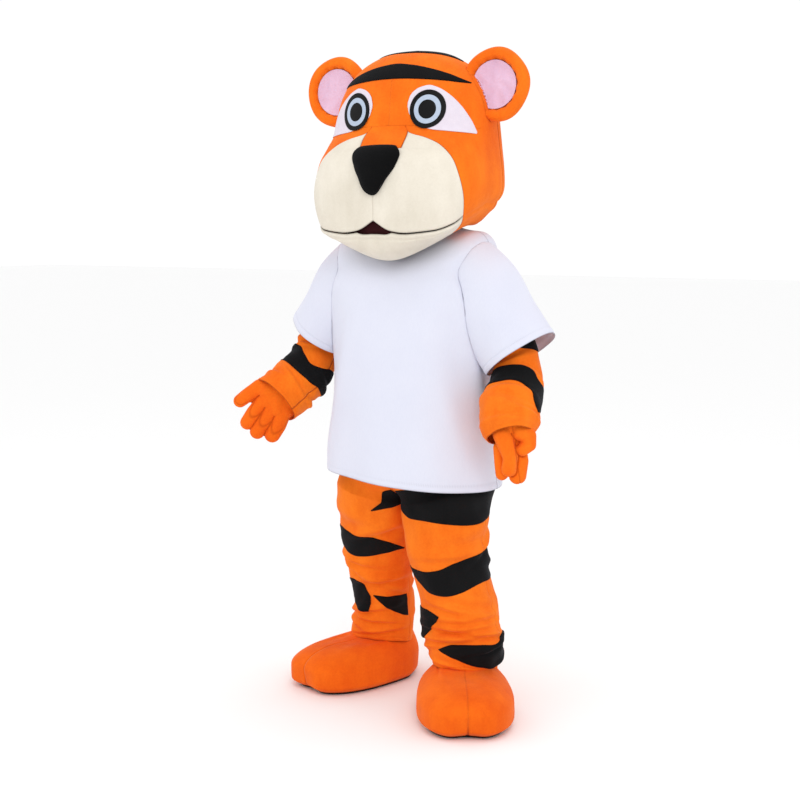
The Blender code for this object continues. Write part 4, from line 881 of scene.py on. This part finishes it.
PATCH_AIR = 0.0008       # under a black patch
WHITE_AIR = 0.0014       # under the white of an eye
EYE_PARTS = Table("order inside outside lift", (0, 0.745, 1.0, 0.0044), (1, 0.46, 0.765, 0.0040),
                  (2, 0.0, 0.49, 0.0046))
on_head("brow_stripe", BROW, BLACK, PATCH_AIR, size=(90, 20))
for side, tag in SIDES:
    on_head("eye_white_" + tag, EYE_WHITE, WHITE, WHITE_AIR, side, (70, 40))
    for (label, finish), (_, inside, outside, lift) in zip(
            (("eye_ring_", EYE_BLACK), ("eye_iris_", EYE_BLUE), ("eye_pupil_", EYE_BLACK)), EYE_PARTS.rows):
        t, k = np.meshgrid(AROUND, eased(inside, outside, 9, 0.5))
        keys = head_at(side * (EYE_X + EYE_WIDE * k * np.cos(t)), EYE_Z + EYE_HIGH * k * np.sin(t))
        cloth(label + tag, raised(head_cloth, keys, head_core, np.full(t.shape, lift)), finish, FELT_WALL,
              head_core, closed=True, tuck="b" if inside == 0.0 else "tb",
              depth=0.0006, reach=0.0012)


def crown_at(x, back):
    """Angle and row of the top of the head over a plan position."""
    angle, reach = np.arctan2(x, -back) / DEG, np.hypot(x, back)
    low, high = np.full(x.shape, 0.05), np.full(x.shape, 4.0)
    for _ in range(40):
        middle = (low + high) / 2
        here = head(angle, middle)
        short = np.hypot(here[..., 0], here[..., 1]) < reach
        low, high = np.where(short, middle, low), np.where(short, high, middle)
    return angle, low


on_head("crown_stripe", CROWN, BLACK, PATCH_AIR, size=(90, 24), locate=crown_at)

# Nose: a ball drawn out into a plump rounded triangle, its back laid on the muzzle.
ball = bmesh.new()
bmesh.ops.create_uvsphere(ball, u_segments=64, v_segments=40, radius=1.0)
at = np.array([vert.co for vert in ball.verts])
down = (1 - at[:, 2]) / 2
wide = np.sqrt(np.maximum(1 - at[:, 2] ** 2, 1e-9))
half = NOSE.at(down, "half") * (1 - np.abs(2 * down - 1) ** 14) ** 0.5
keys = head_at(half * np.clip(at[:, 0] / wide, -1, 1), NOSE.at(down, "z"))
dome = np.maximum(0.0, 1 - at[:, 0] ** 2 - at[:, 2] ** 6) ** 0.5
swell = np.where(at[:, 1] < 0, 0.0015 + (NOSE.at(down, "rise") + 0.003) * dome, 0.0009)
for vert, place in zip(ball.verts, raised(head, keys, head_core, swell)):
    vert.co = place
bmesh.ops.remove_doubles(ball, verts=ball.verts, dist=0.0003)
bmesh.ops.recalc_face_normals(ball, faces=ball.faces)
finished("nose", ball, BLACK)

# Ears: stuffed dishes that face forward, each with a pink lining, closed against the head.
EAR_X, EAR_Y, EAR_Z = 0.263, -0.018, 1.824 - SHOULDER
EAR = Table(
    "go radius depth",
    (0, 0.0645, -0.0005), (1, 0.0695, -0.004), (2, 0.074, -0.0125), (3, 0.082, -0.0185), (4, 0.0925, -0.0175),
    (5, 0.101, -0.009), (6, 0.1045, 0.003), (7, 0.100, 0.016), (8, 0.088, 0.026), (9, 0.060, 0.033),
    (10, 0.002, 0.036))
EAR_LINING = 0.0680      # radius
skull = bmesh.new()
t, r = np.meshgrid(np.linspace(0, 360, 73), np.linspace(0.05, HEAD_LAST, 90))
grid_on(skull, head_cloth(t - 180, r))
skull_tree = BVHTree.FromBMesh(skull)
skull.free()


def against_head(form):
    """Points that would lie in the head are brought out to its face."""
    core = Vector(HEAD_CORE)
    for vert in form.verts:
        way = (vert.co - core).normalized()
        hit = skull_tree.ray_cast(core, way)[0]
        if hit is not None and (vert.co - core).length < (hit - core).length + HEAD_AIR:
            vert.co = hit + way * HEAD_AIR


def stuffed(form):
    """The dish of an ear closed behind its lining and laid against the head."""
    bmesh.ops.holes_fill(form, edges=[edge for edge in form.edges if edge.is_boundary])
    bmesh.ops.recalc_face_normals(form, faces=form.faces)
    against_head(form)


def dish(side, turn, radius, depth):
    return point(side * EAR_X + radius * np.cos(turn), EAR_Y + depth, EAR_Z + radius * np.sin(turn))


for side, tag in SIDES:
    ear_middle = np.array((side * EAR_X, EAR_Y + 0.01, EAR_Z))
    t, g = np.meshgrid(AROUND, np.linspace(0, 10, 41))
    pucker = 0.0012 * np.sin(t * 17 + side) * bell(g - 1.6, 1.0) + 0.0018 * np.sin(t * 5 + 1) * bell(g - 4.5, 3)
    rim = dish(side, t, EAR.at(g, "radius") + pucker, EAR.at(g, "depth") + pucker)
    reworked(cloth("ear_" + tag, rim, ORANGE, 0.0, lambda here: ear_middle, closed=True, tuck="t", depth=0.002,
                   soft=0.9), stuffed)

    t, k = np.meshgrid(AROUND, eased(0.0, 1.0, 26, 0.3))
    wrinkle = (0.0016 * np.sin(9 * k * np.cos(t - 0.6 * side) + 3 * np.sin(t)) + 0.0012 * np.sin(6 * t + 5 * k)) * k
    hollow = dish(side, t, EAR_LINING * k, 0.0010 - 0.0052 * k ** 6 - 0.003 + wrinkle * (1 - k ** 8))
    lining = cloth("ear_lining_" + tag, hollow, PINK, 0.0, lambda here: ear_middle + np.array((0, 0.05, 0)),
                   closed=True, tuck="")
    reworked(lining, against_head)
    walled(lining, FELT_WALL)

# ------------------------------------------------------------------ folds
def folds(rows, height, turn):
    """How far the cloth stands out; each row is height, turn, reach, slope, width and rise of one fold."""
    total = np.zeros(np.shape(height))
    for middle, centre, reach, slope, width, rise in rows:
        off = (turn - centre + 180.0) % 360.0 - 180.0
        line = (height - middle - slope * off) / width
        total = total + rise * (bell(line, 1.0) - 0.7 * bell(line + 1.7, 0.9)) * bell(off, reach)
    return total


LEG_FOLD_RISE, ARM_FOLD_RISE, BODY_FOLD_RISE = 1.9, 1.5, 1.6    # how strongly the folds in the tables stand out
LEG_FOLDS = {
    1: ((0.640, 150, 55, 0.0004, 0.026, 0.004), (0.548, 150, 60, 0.0003, 0.022, 0.004),
        (0.505, 200, 32, 0.0010, 0.012, 0.005), (0.478, 118, 45, 0.0002, 0.013, 0.004),
        (0.345, 150, 50, -0.0004, 0.016, 0.004), (0.318, 112, 45, -0.0004, 0.011, 0.005),
        (0.290, 135, 60, 0.0001, 0.011, 0.006), (0.262, 112, 60, 0.0001, 0.009, 0.007),
        (0.243, 146, 45, -0.0003, 0.008, 0.006), (0.226, 92, 60, 0.0002, 0.009, 0.006),
        (0.205, 180, 50, 0.0004, 0.008, 0.005), (0.186, 44, 35, 0.0006, 0.010, 0.004),
        (0.158, 215, 40, 0.0006, 0.010, 0.004), (0.144, 60, 50, -0.0004, 0.009, 0.004),
        (0.465, 290, 50, 0.0004, 0.014, 0.006), (0.420, 258, 55, -0.0004, 0.012, 0.006),
        (0.300, 280, 60, 0.0003, 0.012, 0.006), (0.252, 300, 55, -0.0001, 0.010, 0.006),
        (0.600, 300, 50, 0.0005, 0.020, 0.005)),
    -1: ((0.565, 112, 60, 0.0003, 0.022, 0.004), (0.520, 62, 55, -0.0006, 0.018, 0.006),
         (0.408, 115, 55, 0.0003, 0.012, 0.005), (0.376, 120, 45, 0.0006, 0.012, 0.005),
         (0.348, 60, 60, -0.0002, 0.014, 0.007), (0.312, 30, 30, 0.0005, 0.012, 0.004),
         (0.234, 104, 60, -0.0003, 0.009, 0.005), (0.208, 92, 60, 0.0002, 0.009, 0.005),
         (0.180, 135, 40, 0.0004, 0.010, 0.004), (0.162, 60, 50, -0.0003, 0.010, 0.004),
         (0.455, 280, 60, -0.0004, 0.014, 0.006), (0.400, 250, 50, 0.0004, 0.012, 0.006),
         (0.300, 275, 60, 0.0002, 0.011, 0.005), (0.230, 250, 60, -0.0003, 0.010, 0.006),
         (0.600, 290, 50, 0.0005, 0.020, 0.005))}

ARM_FOLDS = {
    1: ((3.15, 60, 60, 0.003, 0.14, 0.0050), (3.62, 30, 40, -0.004, 0.10, 0.0035),
        (4.75, 85, 60, 0.002, 0.12, 0.0035), (5.12, 70, 55, -0.003, 0.10, 0.0045),
        (5.38, 40, 60, -0.004, 0.09, 0.0050), (5.62, 95, 70, -0.002, 0.09, 0.0045),
        (4.30, 210, 60, 0.003, 0.12, 0.0050), (5.10, 230, 60, -0.003, 0.12, 0.0060)),
    -1: ((3.05, 20, 45, 0.004, 0.12, 0.0060), (3.35, 70, 50, -0.004, 0.10, 0.0050),
         (4.80, 95, 45, 0.004, 0.12, 0.0035), (5.10, 120, 50, 0.004, 0.10, 0.0040),
         (5.45, 60, 60, -0.002, 0.10, 0.0030), (4.30, 215, 60, 0.003, 0.12, 0.0050),
         (5.00, 240, 60, -0.003, 0.12, 0.0050))}


def suit_cloth(side, turn, row):
    """The suit with its folds; nothing stands out where the legs meet."""
    turn, row = paired(turn, row)
    place = suit(side, turn, row)
    height = place[..., 2] + SHOULDER
    around = turn * DEG
    stand = LEG_FOLD_RISE * folds(LEG_FOLDS[side], height, turn) + 0.0024 * np.sin(3 * around + 21 * height + side)
    stand = stand + 0.0014 * np.sin(5 * around - 34 * height) + 0.0008 * np.sin(11 * around + 57 * height)
    inseam = np.minimum(turn, 360.0 - turn)
    clear = np.where(height > 0.40, step(inseam, 3.0, 40.0), step(inseam, -40.0, 25.0))
    stand = stand * step(row, 6.0, 7.2) * clear
    normal = facing(lambda u, v: suit(side, u, v), turn, row, suit_core(side), 1.5, 0.03)
    tilt = 0.016 * np.sin(around) * step(row, 13.6, 16.0)
    return place + normal * stand[..., None] + point(0.0, 0.0, tilt)


def arm_cloth(side, turn, row):
    """The suit sleeve with its folds; the left cuff hangs and rolls back in round the wrist."""
    turn, row = paired(turn, row)
    around = turn * DEG
    stand = ARM_FOLD_RISE * folds(ARM_FOLDS[side], row, turn)
    stand = stand + 0.0016 * np.sin(3 * around + 4 * row) * step(row, 1.0, 2.5)
    stand = stand + 0.0009 * np.sin(7 * around - 6 * row)
    if side > 0:
        stand = stand - 0.017 * step(row, 5.45, 6.0) ** 1.5
        hang = 0.026 * bell(row - 5.75, 0.42) * (0.5 + 0.5 * np.cos((turn - 205) * DEG))
    else:
        stand = stand + 0.0035 * bell(row - 5.9, 0.25) * np.sin(2 * around + 1)
        hang = np.zeros(row.shape)
    place = arm(side, turn, row)
    normal = facing(lambda u, v: arm(side, u, v), turn, row, arm_core(side), 1.5, 0.03)
    to_hand = unit(arm_centre(side, 6.0) - arm_centre(side, 5.0))
    return place + normal * stand[..., None] + to_hand * hang[..., None]


def tree_of(*pieces):
    """The pieces' faces, ready to be searched for the nearest one."""
    form = bmesh.new()
    for piece in pieces:
        form.from_mesh(piece.data)
    tree = BVHTree.FromBMesh(form)
    form.free()
    return tree


def leaves(tree, form, turns, rows, air):
    """For each turn, the row at which a sleeve comes out through the body cloth."""
    first = []
    for turn in turns:
        line = form(np.full(rows.shape, turn), rows)
        edge = rows[-1]
        for row, place in zip(rows[::-1], line[::-1]):
            near, normal = tree.find_nearest(Vector(place))[:2]
            if (Vector(place) - near).dot(normal) < air:
                break
            edge = row
        first.append(edge)
    return np.array(first)


def opened(piece, inside):
    """Cuts the cloth away where a sleeve goes in."""
    def cut(form):
        gone = [face for face in form.faces if inside(np.array(face.calc_center_median()))]
        bmesh.ops.delete(form, geom=gone, context="FACES")
    reworked(piece, cut)


def within_arm(side, share):
    """Whether a place is inside the suit sleeve drawn in to a share of its width."""
    rows = np.linspace(0.0, 3.0, 61)
    spine, size = arm_centre(side, rows), ARMS[side].at(rows, "radius")

    def inside(here):
        gap = np.linalg.norm(here - spine, axis=1) / size
        return gap[1:].min() < share and here[0] * side > 0.1
    return inside


# ------------------------------------------------------------------ suit
LEG_HEM, CUFF_HEM = 0.013, 0.011                    # from the edge to the stitching


def stripe(name, form, keys, core, ring=False):
    """A black stripe sewn on the suit; a ring goes all round the sleeve."""
    places = raised(form, keys, core, np.full(keys[0].shape, STRIPE_LIFT))
    cloth("stripe_" + name, places, BLACK, STRIPE_WALL, core, closed=ring,
          tuck="tb" if ring else "lrtb", depth=0.0007, reach=0.0015)


SUIT_ROWS = np.concatenate((np.linspace(0.0, 6.0, 44)[:-1], np.linspace(6.0, 16.0, 176)))
for side, tag in SIDES:
    panels = []
    for label, first, last in (("front", 0.0, 180.0), ("back", 180.0, 360.0)):
        u, v = np.meshgrid(eased(first, last, 78, 0.3), SUIT_ROWS)
        panels.append(cloth("suit_" + label + "_" + tag, suit_cloth(side, u, v), SUIT_ORANGE, SUIT_WALL,
                            suit_core(side), stitched=(("b", LEG_HEM),), hidden=0.0030))
    turns = np.linspace(-180, 180, 91)
    start = leaves(tree_of(*panels), lambda t, r: arm(side, t, r), turns, np.linspace(0.2, 3.0, 57), 0.001)
    for panel in panels:
        opened(panel, within_arm(side, 0.93))
    u, share = np.meshgrid(turns, np.linspace(0.0, 1.0, 150))
    v = mix(start[None, :], 6.0, share)
    cloth("suit_sleeve_" + tag, arm_cloth(side, u, v), SUIT_ORANGE, SUIT_WALL, arm_core(side), closed=True,
          stitched=(("b", CUFF_HEM),))
    for name, table in ARM_STRIPES[side].items():
        first, last = table.span()
        keys = drawn(table, np.linspace(first, last, 110), eased(0, 1, 26, 0.5))
        stripe(name, lambda t, r: arm_cloth(side, t, r), keys, arm_core(side),
               last - first > 350)
    for name, table in LEG_STRIPES[side].items():
        turn, height = drawn(table, eased(*table.span(), 110, 0.5), eased(0, 1, 34, 0.4))
        keys = turn, leg_row(side, turn, height)
        stripe(name, lambda t, r: suit_cloth(side, t, r), keys, suit_core(side))

# ------------------------------------------------------------------ overshoes
for side, tag in SIDES:
    for label, first, last in (("outer", 0.0, 180.0 * side), ("inner", 0.0, -180.0 * side)):
        u, v = np.meshgrid(eased(first, last, 74, 0.4), eased(0.0, 8.0, 60, 0.2))
        plump = 0.0026 * np.sin(math.pi * np.clip(v / 5.0, 0, 1)) - 0.0016 * bell(v - 5.0, 0.35)
        crease = 0.0016 * np.sin(9 * u * DEG + 2 * v) * bell(v - 4.6, 0.9)
        places = raised(lambda t, r: foot(side, t, r), (u, v), foot_core(side), plump + crease)
        cloth("foot_" + label + "_" + tag, places, PAW_ORANGE, SHOE_WALL, foot_core(side), tuck="lrb",
              depth=0.0020, reach=0.006, hidden=0.006 * step(v, 0.5, 2.5))
    u, share = np.meshgrid(np.linspace(-180, 180, 121), eased(0.968, 0.02, 14, 0.3))
    rim = foot(side, u, np.zeros(u.shape))
    middle = rim[0].mean(axis=0)
    flat = mix(middle, rim, share[..., None]) * np.array((1, 1, 0)) + np.array((0, 0, 0.0004 - SHOULDER))
    cloth("sole_" + tag, flat, SOLE, SOLE_THICK, foot_core(side), closed=True, tuck="")

# ------------------------------------------------------------------ gloves
GLOVE_GRAIN = 0.0026     # size of the remeshing steps
RIGHT_HAND = {
    "thumb": ((-0.432, -0.176, 0.944, 0.026), (-0.444, -0.191, 0.939, 0.0235), (-0.466, -0.213, 0.918, 0.0225),
              (-0.486, -0.232, 0.898, 0.0205)),
    "index": ((-0.434, -0.191, 0.893, 0.0235), (-0.450, -0.210, 0.861, 0.0245), (-0.466, -0.223, 0.832, 0.0225)),
    "middle": ((-0.408, -0.181, 0.866, 0.024), (-0.422, -0.198, 0.834, 0.025), (-0.438, -0.211, 0.805, 0.0235)),
    "little": ((-0.376, -0.163, 0.860, 0.025), (-0.386, -0.176, 0.824, 0.0255), (-0.399, -0.188, 0.795, 0.0245))}
RIGHT_PALM = ((-0.420, -0.178, 0.927, 0.036), (-0.385, -0.160, 0.912, 0.040), (-0.357, -0.147, 0.896, 0.036),
              (-0.418, -0.182, 0.893, 0.031), (-0.393, -0.171, 0.872, 0.034), (-0.367, -0.155, 0.875, 0.031))
LEFT_HAND = {
    "index": ((0.364, -0.155, 0.850, 0.030), (0.377, -0.157, 0.815, 0.0245), (0.388, -0.157, 0.785, 0.021),
              (0.385, -0.162, 0.752, 0.0205)),
    "middle": ((0.345, -0.135, 0.806, 0.020), (0.348, -0.137, 0.767, 0.0185), (0.353, -0.138, 0.733, 0.0185)),
    "little": ((0.394, -0.120, 0.814, 0.023), (0.401, -0.119, 0.772, 0.0235), (0.396, -0.126, 0.731, 0.0255)),
    "thumb": ((0.401, -0.137, 0.859, 0.025), (0.429, -0.125, 0.846, 0.0215), (0.432, -0.127, 0.821, 0.0195),
              (0.417, -0.137, 0.807, 0.0175))}
LEFT_PALM = ((0.349, -0.146, 0.876, 0.034), (0.378, -0.129, 0.876, 0.040), (0.406, -0.114, 0.868, 0.034),
             (0.364, -0.130, 0.847, 0.034), (0.388, -0.115, 0.838, 0.032))


def glove(tag, digits, palm, wrist, palm_way):
    """A stuffed glove: plump digits and palm skinned over, drawn in between the digits.

    Digits, palm and wrist are balls, each x, y, z and radius; palm_way is the way that the palm faces.
    """
    form = bmesh.new()

    def ball(spot):
        made = bmesh.ops.create_icosphere(form, subdivisions=3, radius=spot[3])
        bmesh.ops.translate(form, vec=(spot[0], spot[1], spot[2] - SHOULDER), verts=made["verts"])

    def chain(spots):
        spots = np.array(spots)
        for first, last in zip(spots[:-1], spots[1:]):
            for share in np.linspace(0, 1, 8):
                ball(mix(first, last, share))

    for digit in digits.values():
        chain(digit)
    for spot in palm:
        ball(spot)
        chain((spot, wrist))
    piece = finished("glove_" + tag, form, HAND_ORANGE, ["glove_palm_" + tag, "glove_back_" + tag])
    skin = piece.modifiers.new("skin", "REMESH")
    skin.mode, skin.voxel_size = "VOXEL", GLOVE_GRAIN
    relax = piece.modifiers.new("relax", "SMOOTH")
    relax.factor, relax.iterations = 0.5, 7
    mesh = baked(piece).data
    count = len(mesh.vertices)
    flat = np.empty(count * 3)
    mesh.vertices.foreach_get("co", flat)
    places = flat.reshape(-1, 3)
    normals = np.array([vert.normal for vert in mesh.vertices])
    gaps = []
    for digit in digits.values():
        spots = np.array(digit)[:, :3] - np.array((0, 0, SHOULDER))
        fine = np.vstack([mix(a, b, t) for a, b in zip(spots[:-1], spots[1:]) for t in np.linspace(0, 1, 12)])
        gaps.append(np.linalg.norm(places[:, None] - fine, axis=2).min(axis=1) - np.array(digit)[:, 3].mean())
    gaps = np.sort(np.array(gaps), axis=0)
    seam = np.where(gaps[0] < 0.006, np.minimum(0.05, (gaps[1] - gaps[0]) * 0.9), 0.05)
    centre = np.array(palm)[:, :3].mean(axis=0) - np.array((0, 0, SHOULDER))
    halves = np.abs((places - centre) @ unit(np.array(palm_way)))
    seam = np.minimum(seam, 0.0015 + halves * 0.8)
    places = places - normals * (0.0022 * bell(seam, 0.0035))[:, None]
    mesh.vertices.foreach_set("co", places.ravel())
    # this seam distance also paints shade through the plush, between the digits and along the seam between palm and
    # back
    layer = mesh.attributes.new("seam", "FLOAT", "POINT")
    layer.data.foreach_set("value", seam)
    mesh.polygons.foreach_set("use_smooth", [True] * len(mesh.polygons))
    mesh.update()


glove("r", RIGHT_HAND, RIGHT_PALM, (-0.386, -0.150, 0.930, 0.044), (0.62, -0.70, 0.35))
glove("l", LEFT_HAND, LEFT_PALM, (0.374, -0.126, 0.890, 0.044), (0.85, 0.50, 0.15))

# ------------------------------------------------------------------ shirt
SHIRT_HEM, NECK_HEM = 0.020, 0.016                  # from the edge to the stitching
BODY_FOLDS = (
    (8.6, 60, 22, 0.10, 1.0, 0.0030), (7.2, 75, 20, 0.06, 0.9, 0.0045), (6.3, 68, 18, 0.09, 0.6, 0.0050),
    (5.6, 62, 14, 0.09, 0.4, 0.0040), (6.6, -72, 18, -0.08, 0.7, 0.0050), (5.7, -64, 14, -0.09, 0.4, 0.0040),
    (8.0, -50, 18, -0.12, 1.0, 0.0030), (6.5, 118, 18, -0.09, 0.6, 0.0050), (6.5, -118, 18, 0.09, 0.6, 0.0050),
    (4.6, 180, 45, 0.00, 0.5, 0.0040))


def shirt_cloth(angle, row):
    """The shirt body with its soft folds and a gently rippled hem."""
    angle, row = paired(angle, row)
    around = angle * DEG
    stand = BODY_FOLD_RISE * folds(BODY_FOLDS, row, angle) * step(row, 3.5, 5.0)
    low = step(row, 5.0, 10.0)
    stand = stand + low * (0.0050 * np.sin(5 * around + 0.6) + 0.0030 * np.sin(8 * around + 2.0) * low)
    stand = stand + 0.0012 * np.sin(3 * around + 1.3 * row) * step(row, 2.0, 4.0)
    return raised(shirt, (angle, row), axis_core, stand)


def sleeve_cloth(side, turn, row):
    """A shirt sleeve with its soft folds."""
    turn, row = paired(turn, row)
    around = turn * DEG
    stand = 0.0035 * np.sin(3 * around + 0.8) * step(row, 1.2, 3.0) + 0.0022 * np.sin(5 * around - 2 * row)
    stand = stand * step(row, 0.4, 1.6)
    return raised(lambda t, r: shirt_sleeve(side, t, r), (turn, row), sleeve_core(side), stand)


def within_sleeve(share):
    """Whether a place is inside a shirt sleeve drawn in to a share of its width."""
    rows = np.linspace(0.0, 3.0, 61)

    def inside(here):
        side = 1 if here[0] > 0 else -1
        sizes = SLEEVES[side]
        away = here * np.array((side, 1, 1)) - spine_of(sizes, 1, rows)
        flat = np.abs(away @ SLEEVE_AXIS)
        size = np.hypot(away @ SLEEVE_OUT / sizes.at(rows, "out"), away[:, 1] / sizes.at(rows, "deep"))
        return np.where(flat < 0.012, size, 9.0).min() < share
    return inside


panels = []
for label, first, last in (("front", -90.0, 90.0), ("back", 90.0, 270.0)):
    u, v = np.meshgrid(eased(first, last, 132, 0.2), np.linspace(0.0, 10.0, 130))
    panels.append(cloth("shirt_" + label, shirt_cloth(u, v), JERSEY, SHIRT_WALL, axis_core,
                        depth=0.0011, reach=0.003,
                        stitched=(("b", SHIRT_HEM), ("t", NECK_HEM))))
body_tree = tree_of(*panels)
turns = np.linspace(-180, 180, 121)
starts = {side: leaves(body_tree, lambda t, r: shirt_sleeve(side, t, r), turns, np.linspace(0.0, 3.0, 121),
                       0.0005) for side, _ in SIDES}
for panel in panels:
    opened(panel, within_sleeve(0.94))
for side, tag in SIDES:
    u, share = np.meshgrid(turns, eased(0.0, 1.0, 84, 0.2))
    v = mix(starts[side][None, :], 3.0, share)
    cloth("shirt_sleeve_" + tag, sleeve_cloth(side, u, v), JERSEY, SHIRT_WALL, sleeve_core(side),
          closed=True, stitched=(("b", SHIRT_HEM),))


# ------------------------------------------------------------------ floor, camera and light
floor_form = bmesh.new()
bmesh.ops.create_grid(floor_form, x_segments=2, y_segments=2, size=30.0)
for vert in floor_form.verts:
    vert.co.z = -SHOULDER - 0.0006
floor_mesh = bpy.data.meshes.new("studio_floor")
floor_form.to_mesh(floor_mesh)
floor_form.free()
floor = bpy.data.objects.new("studio_floor", floor_mesh)
bpy.context.scene.collection.objects.link(floor)
pale = Finish("pale_floor", 0.9)
pale.shader.inputs["Base Color"].default_value = (0.95, 0.95, 0.95, 1.0)
floor_mesh.materials.append(pale.material)

world = bpy.data.worlds.new("studio")
world.use_nodes = True
world.node_tree.nodes["Background"].inputs["Color"].default_value = (1.0, 1.0, 1.0, 1.0)
world.node_tree.nodes["Background"].inputs["Strength"].default_value = 1.02
bpy.context.scene.world = world

for name, place, aim, size, power in (
        ("key", (2.4, -3.2, 2.6), (0.0, 0.0, -0.3), 2.0, 46.0),
        ("fill", (-3.2, -2.4, 1.4), (0.0, 0.0, -0.6), 2.6, 10.0),
        ("top", (0.2, 0.6, 3.4), (0.0, 0.0, 0.0), 2.2, 16.0)):
    lamp = bpy.data.lights.new(name, "AREA")
    lamp.energy, lamp.size = power, size
    holder = bpy.data.objects.new(name, lamp)
    holder.location = place
    holder.rotation_euler = (Vector(aim) - Vector(place)).to_track_quat("-Z", "Y").to_euler()
    bpy.context.scene.collection.objects.link(holder)

lens = bpy.data.cameras.new("view")
lens.lens, lens.sensor_width = 64.8, 36.0
camera = bpy.data.objects.new("view", lens)
camera.location = (2.106, -3.749, 0.020)
camera.rotation_euler = (Vector((-0.044, -0.0254, -0.524)) - camera.location).to_track_quat("-Z", "Y").to_euler()
bpy.context.scene.collection.objects.link(camera)
bpy.context.scene.camera = camera
bpy.context.scene.view_settings.view_transform = "Standard"
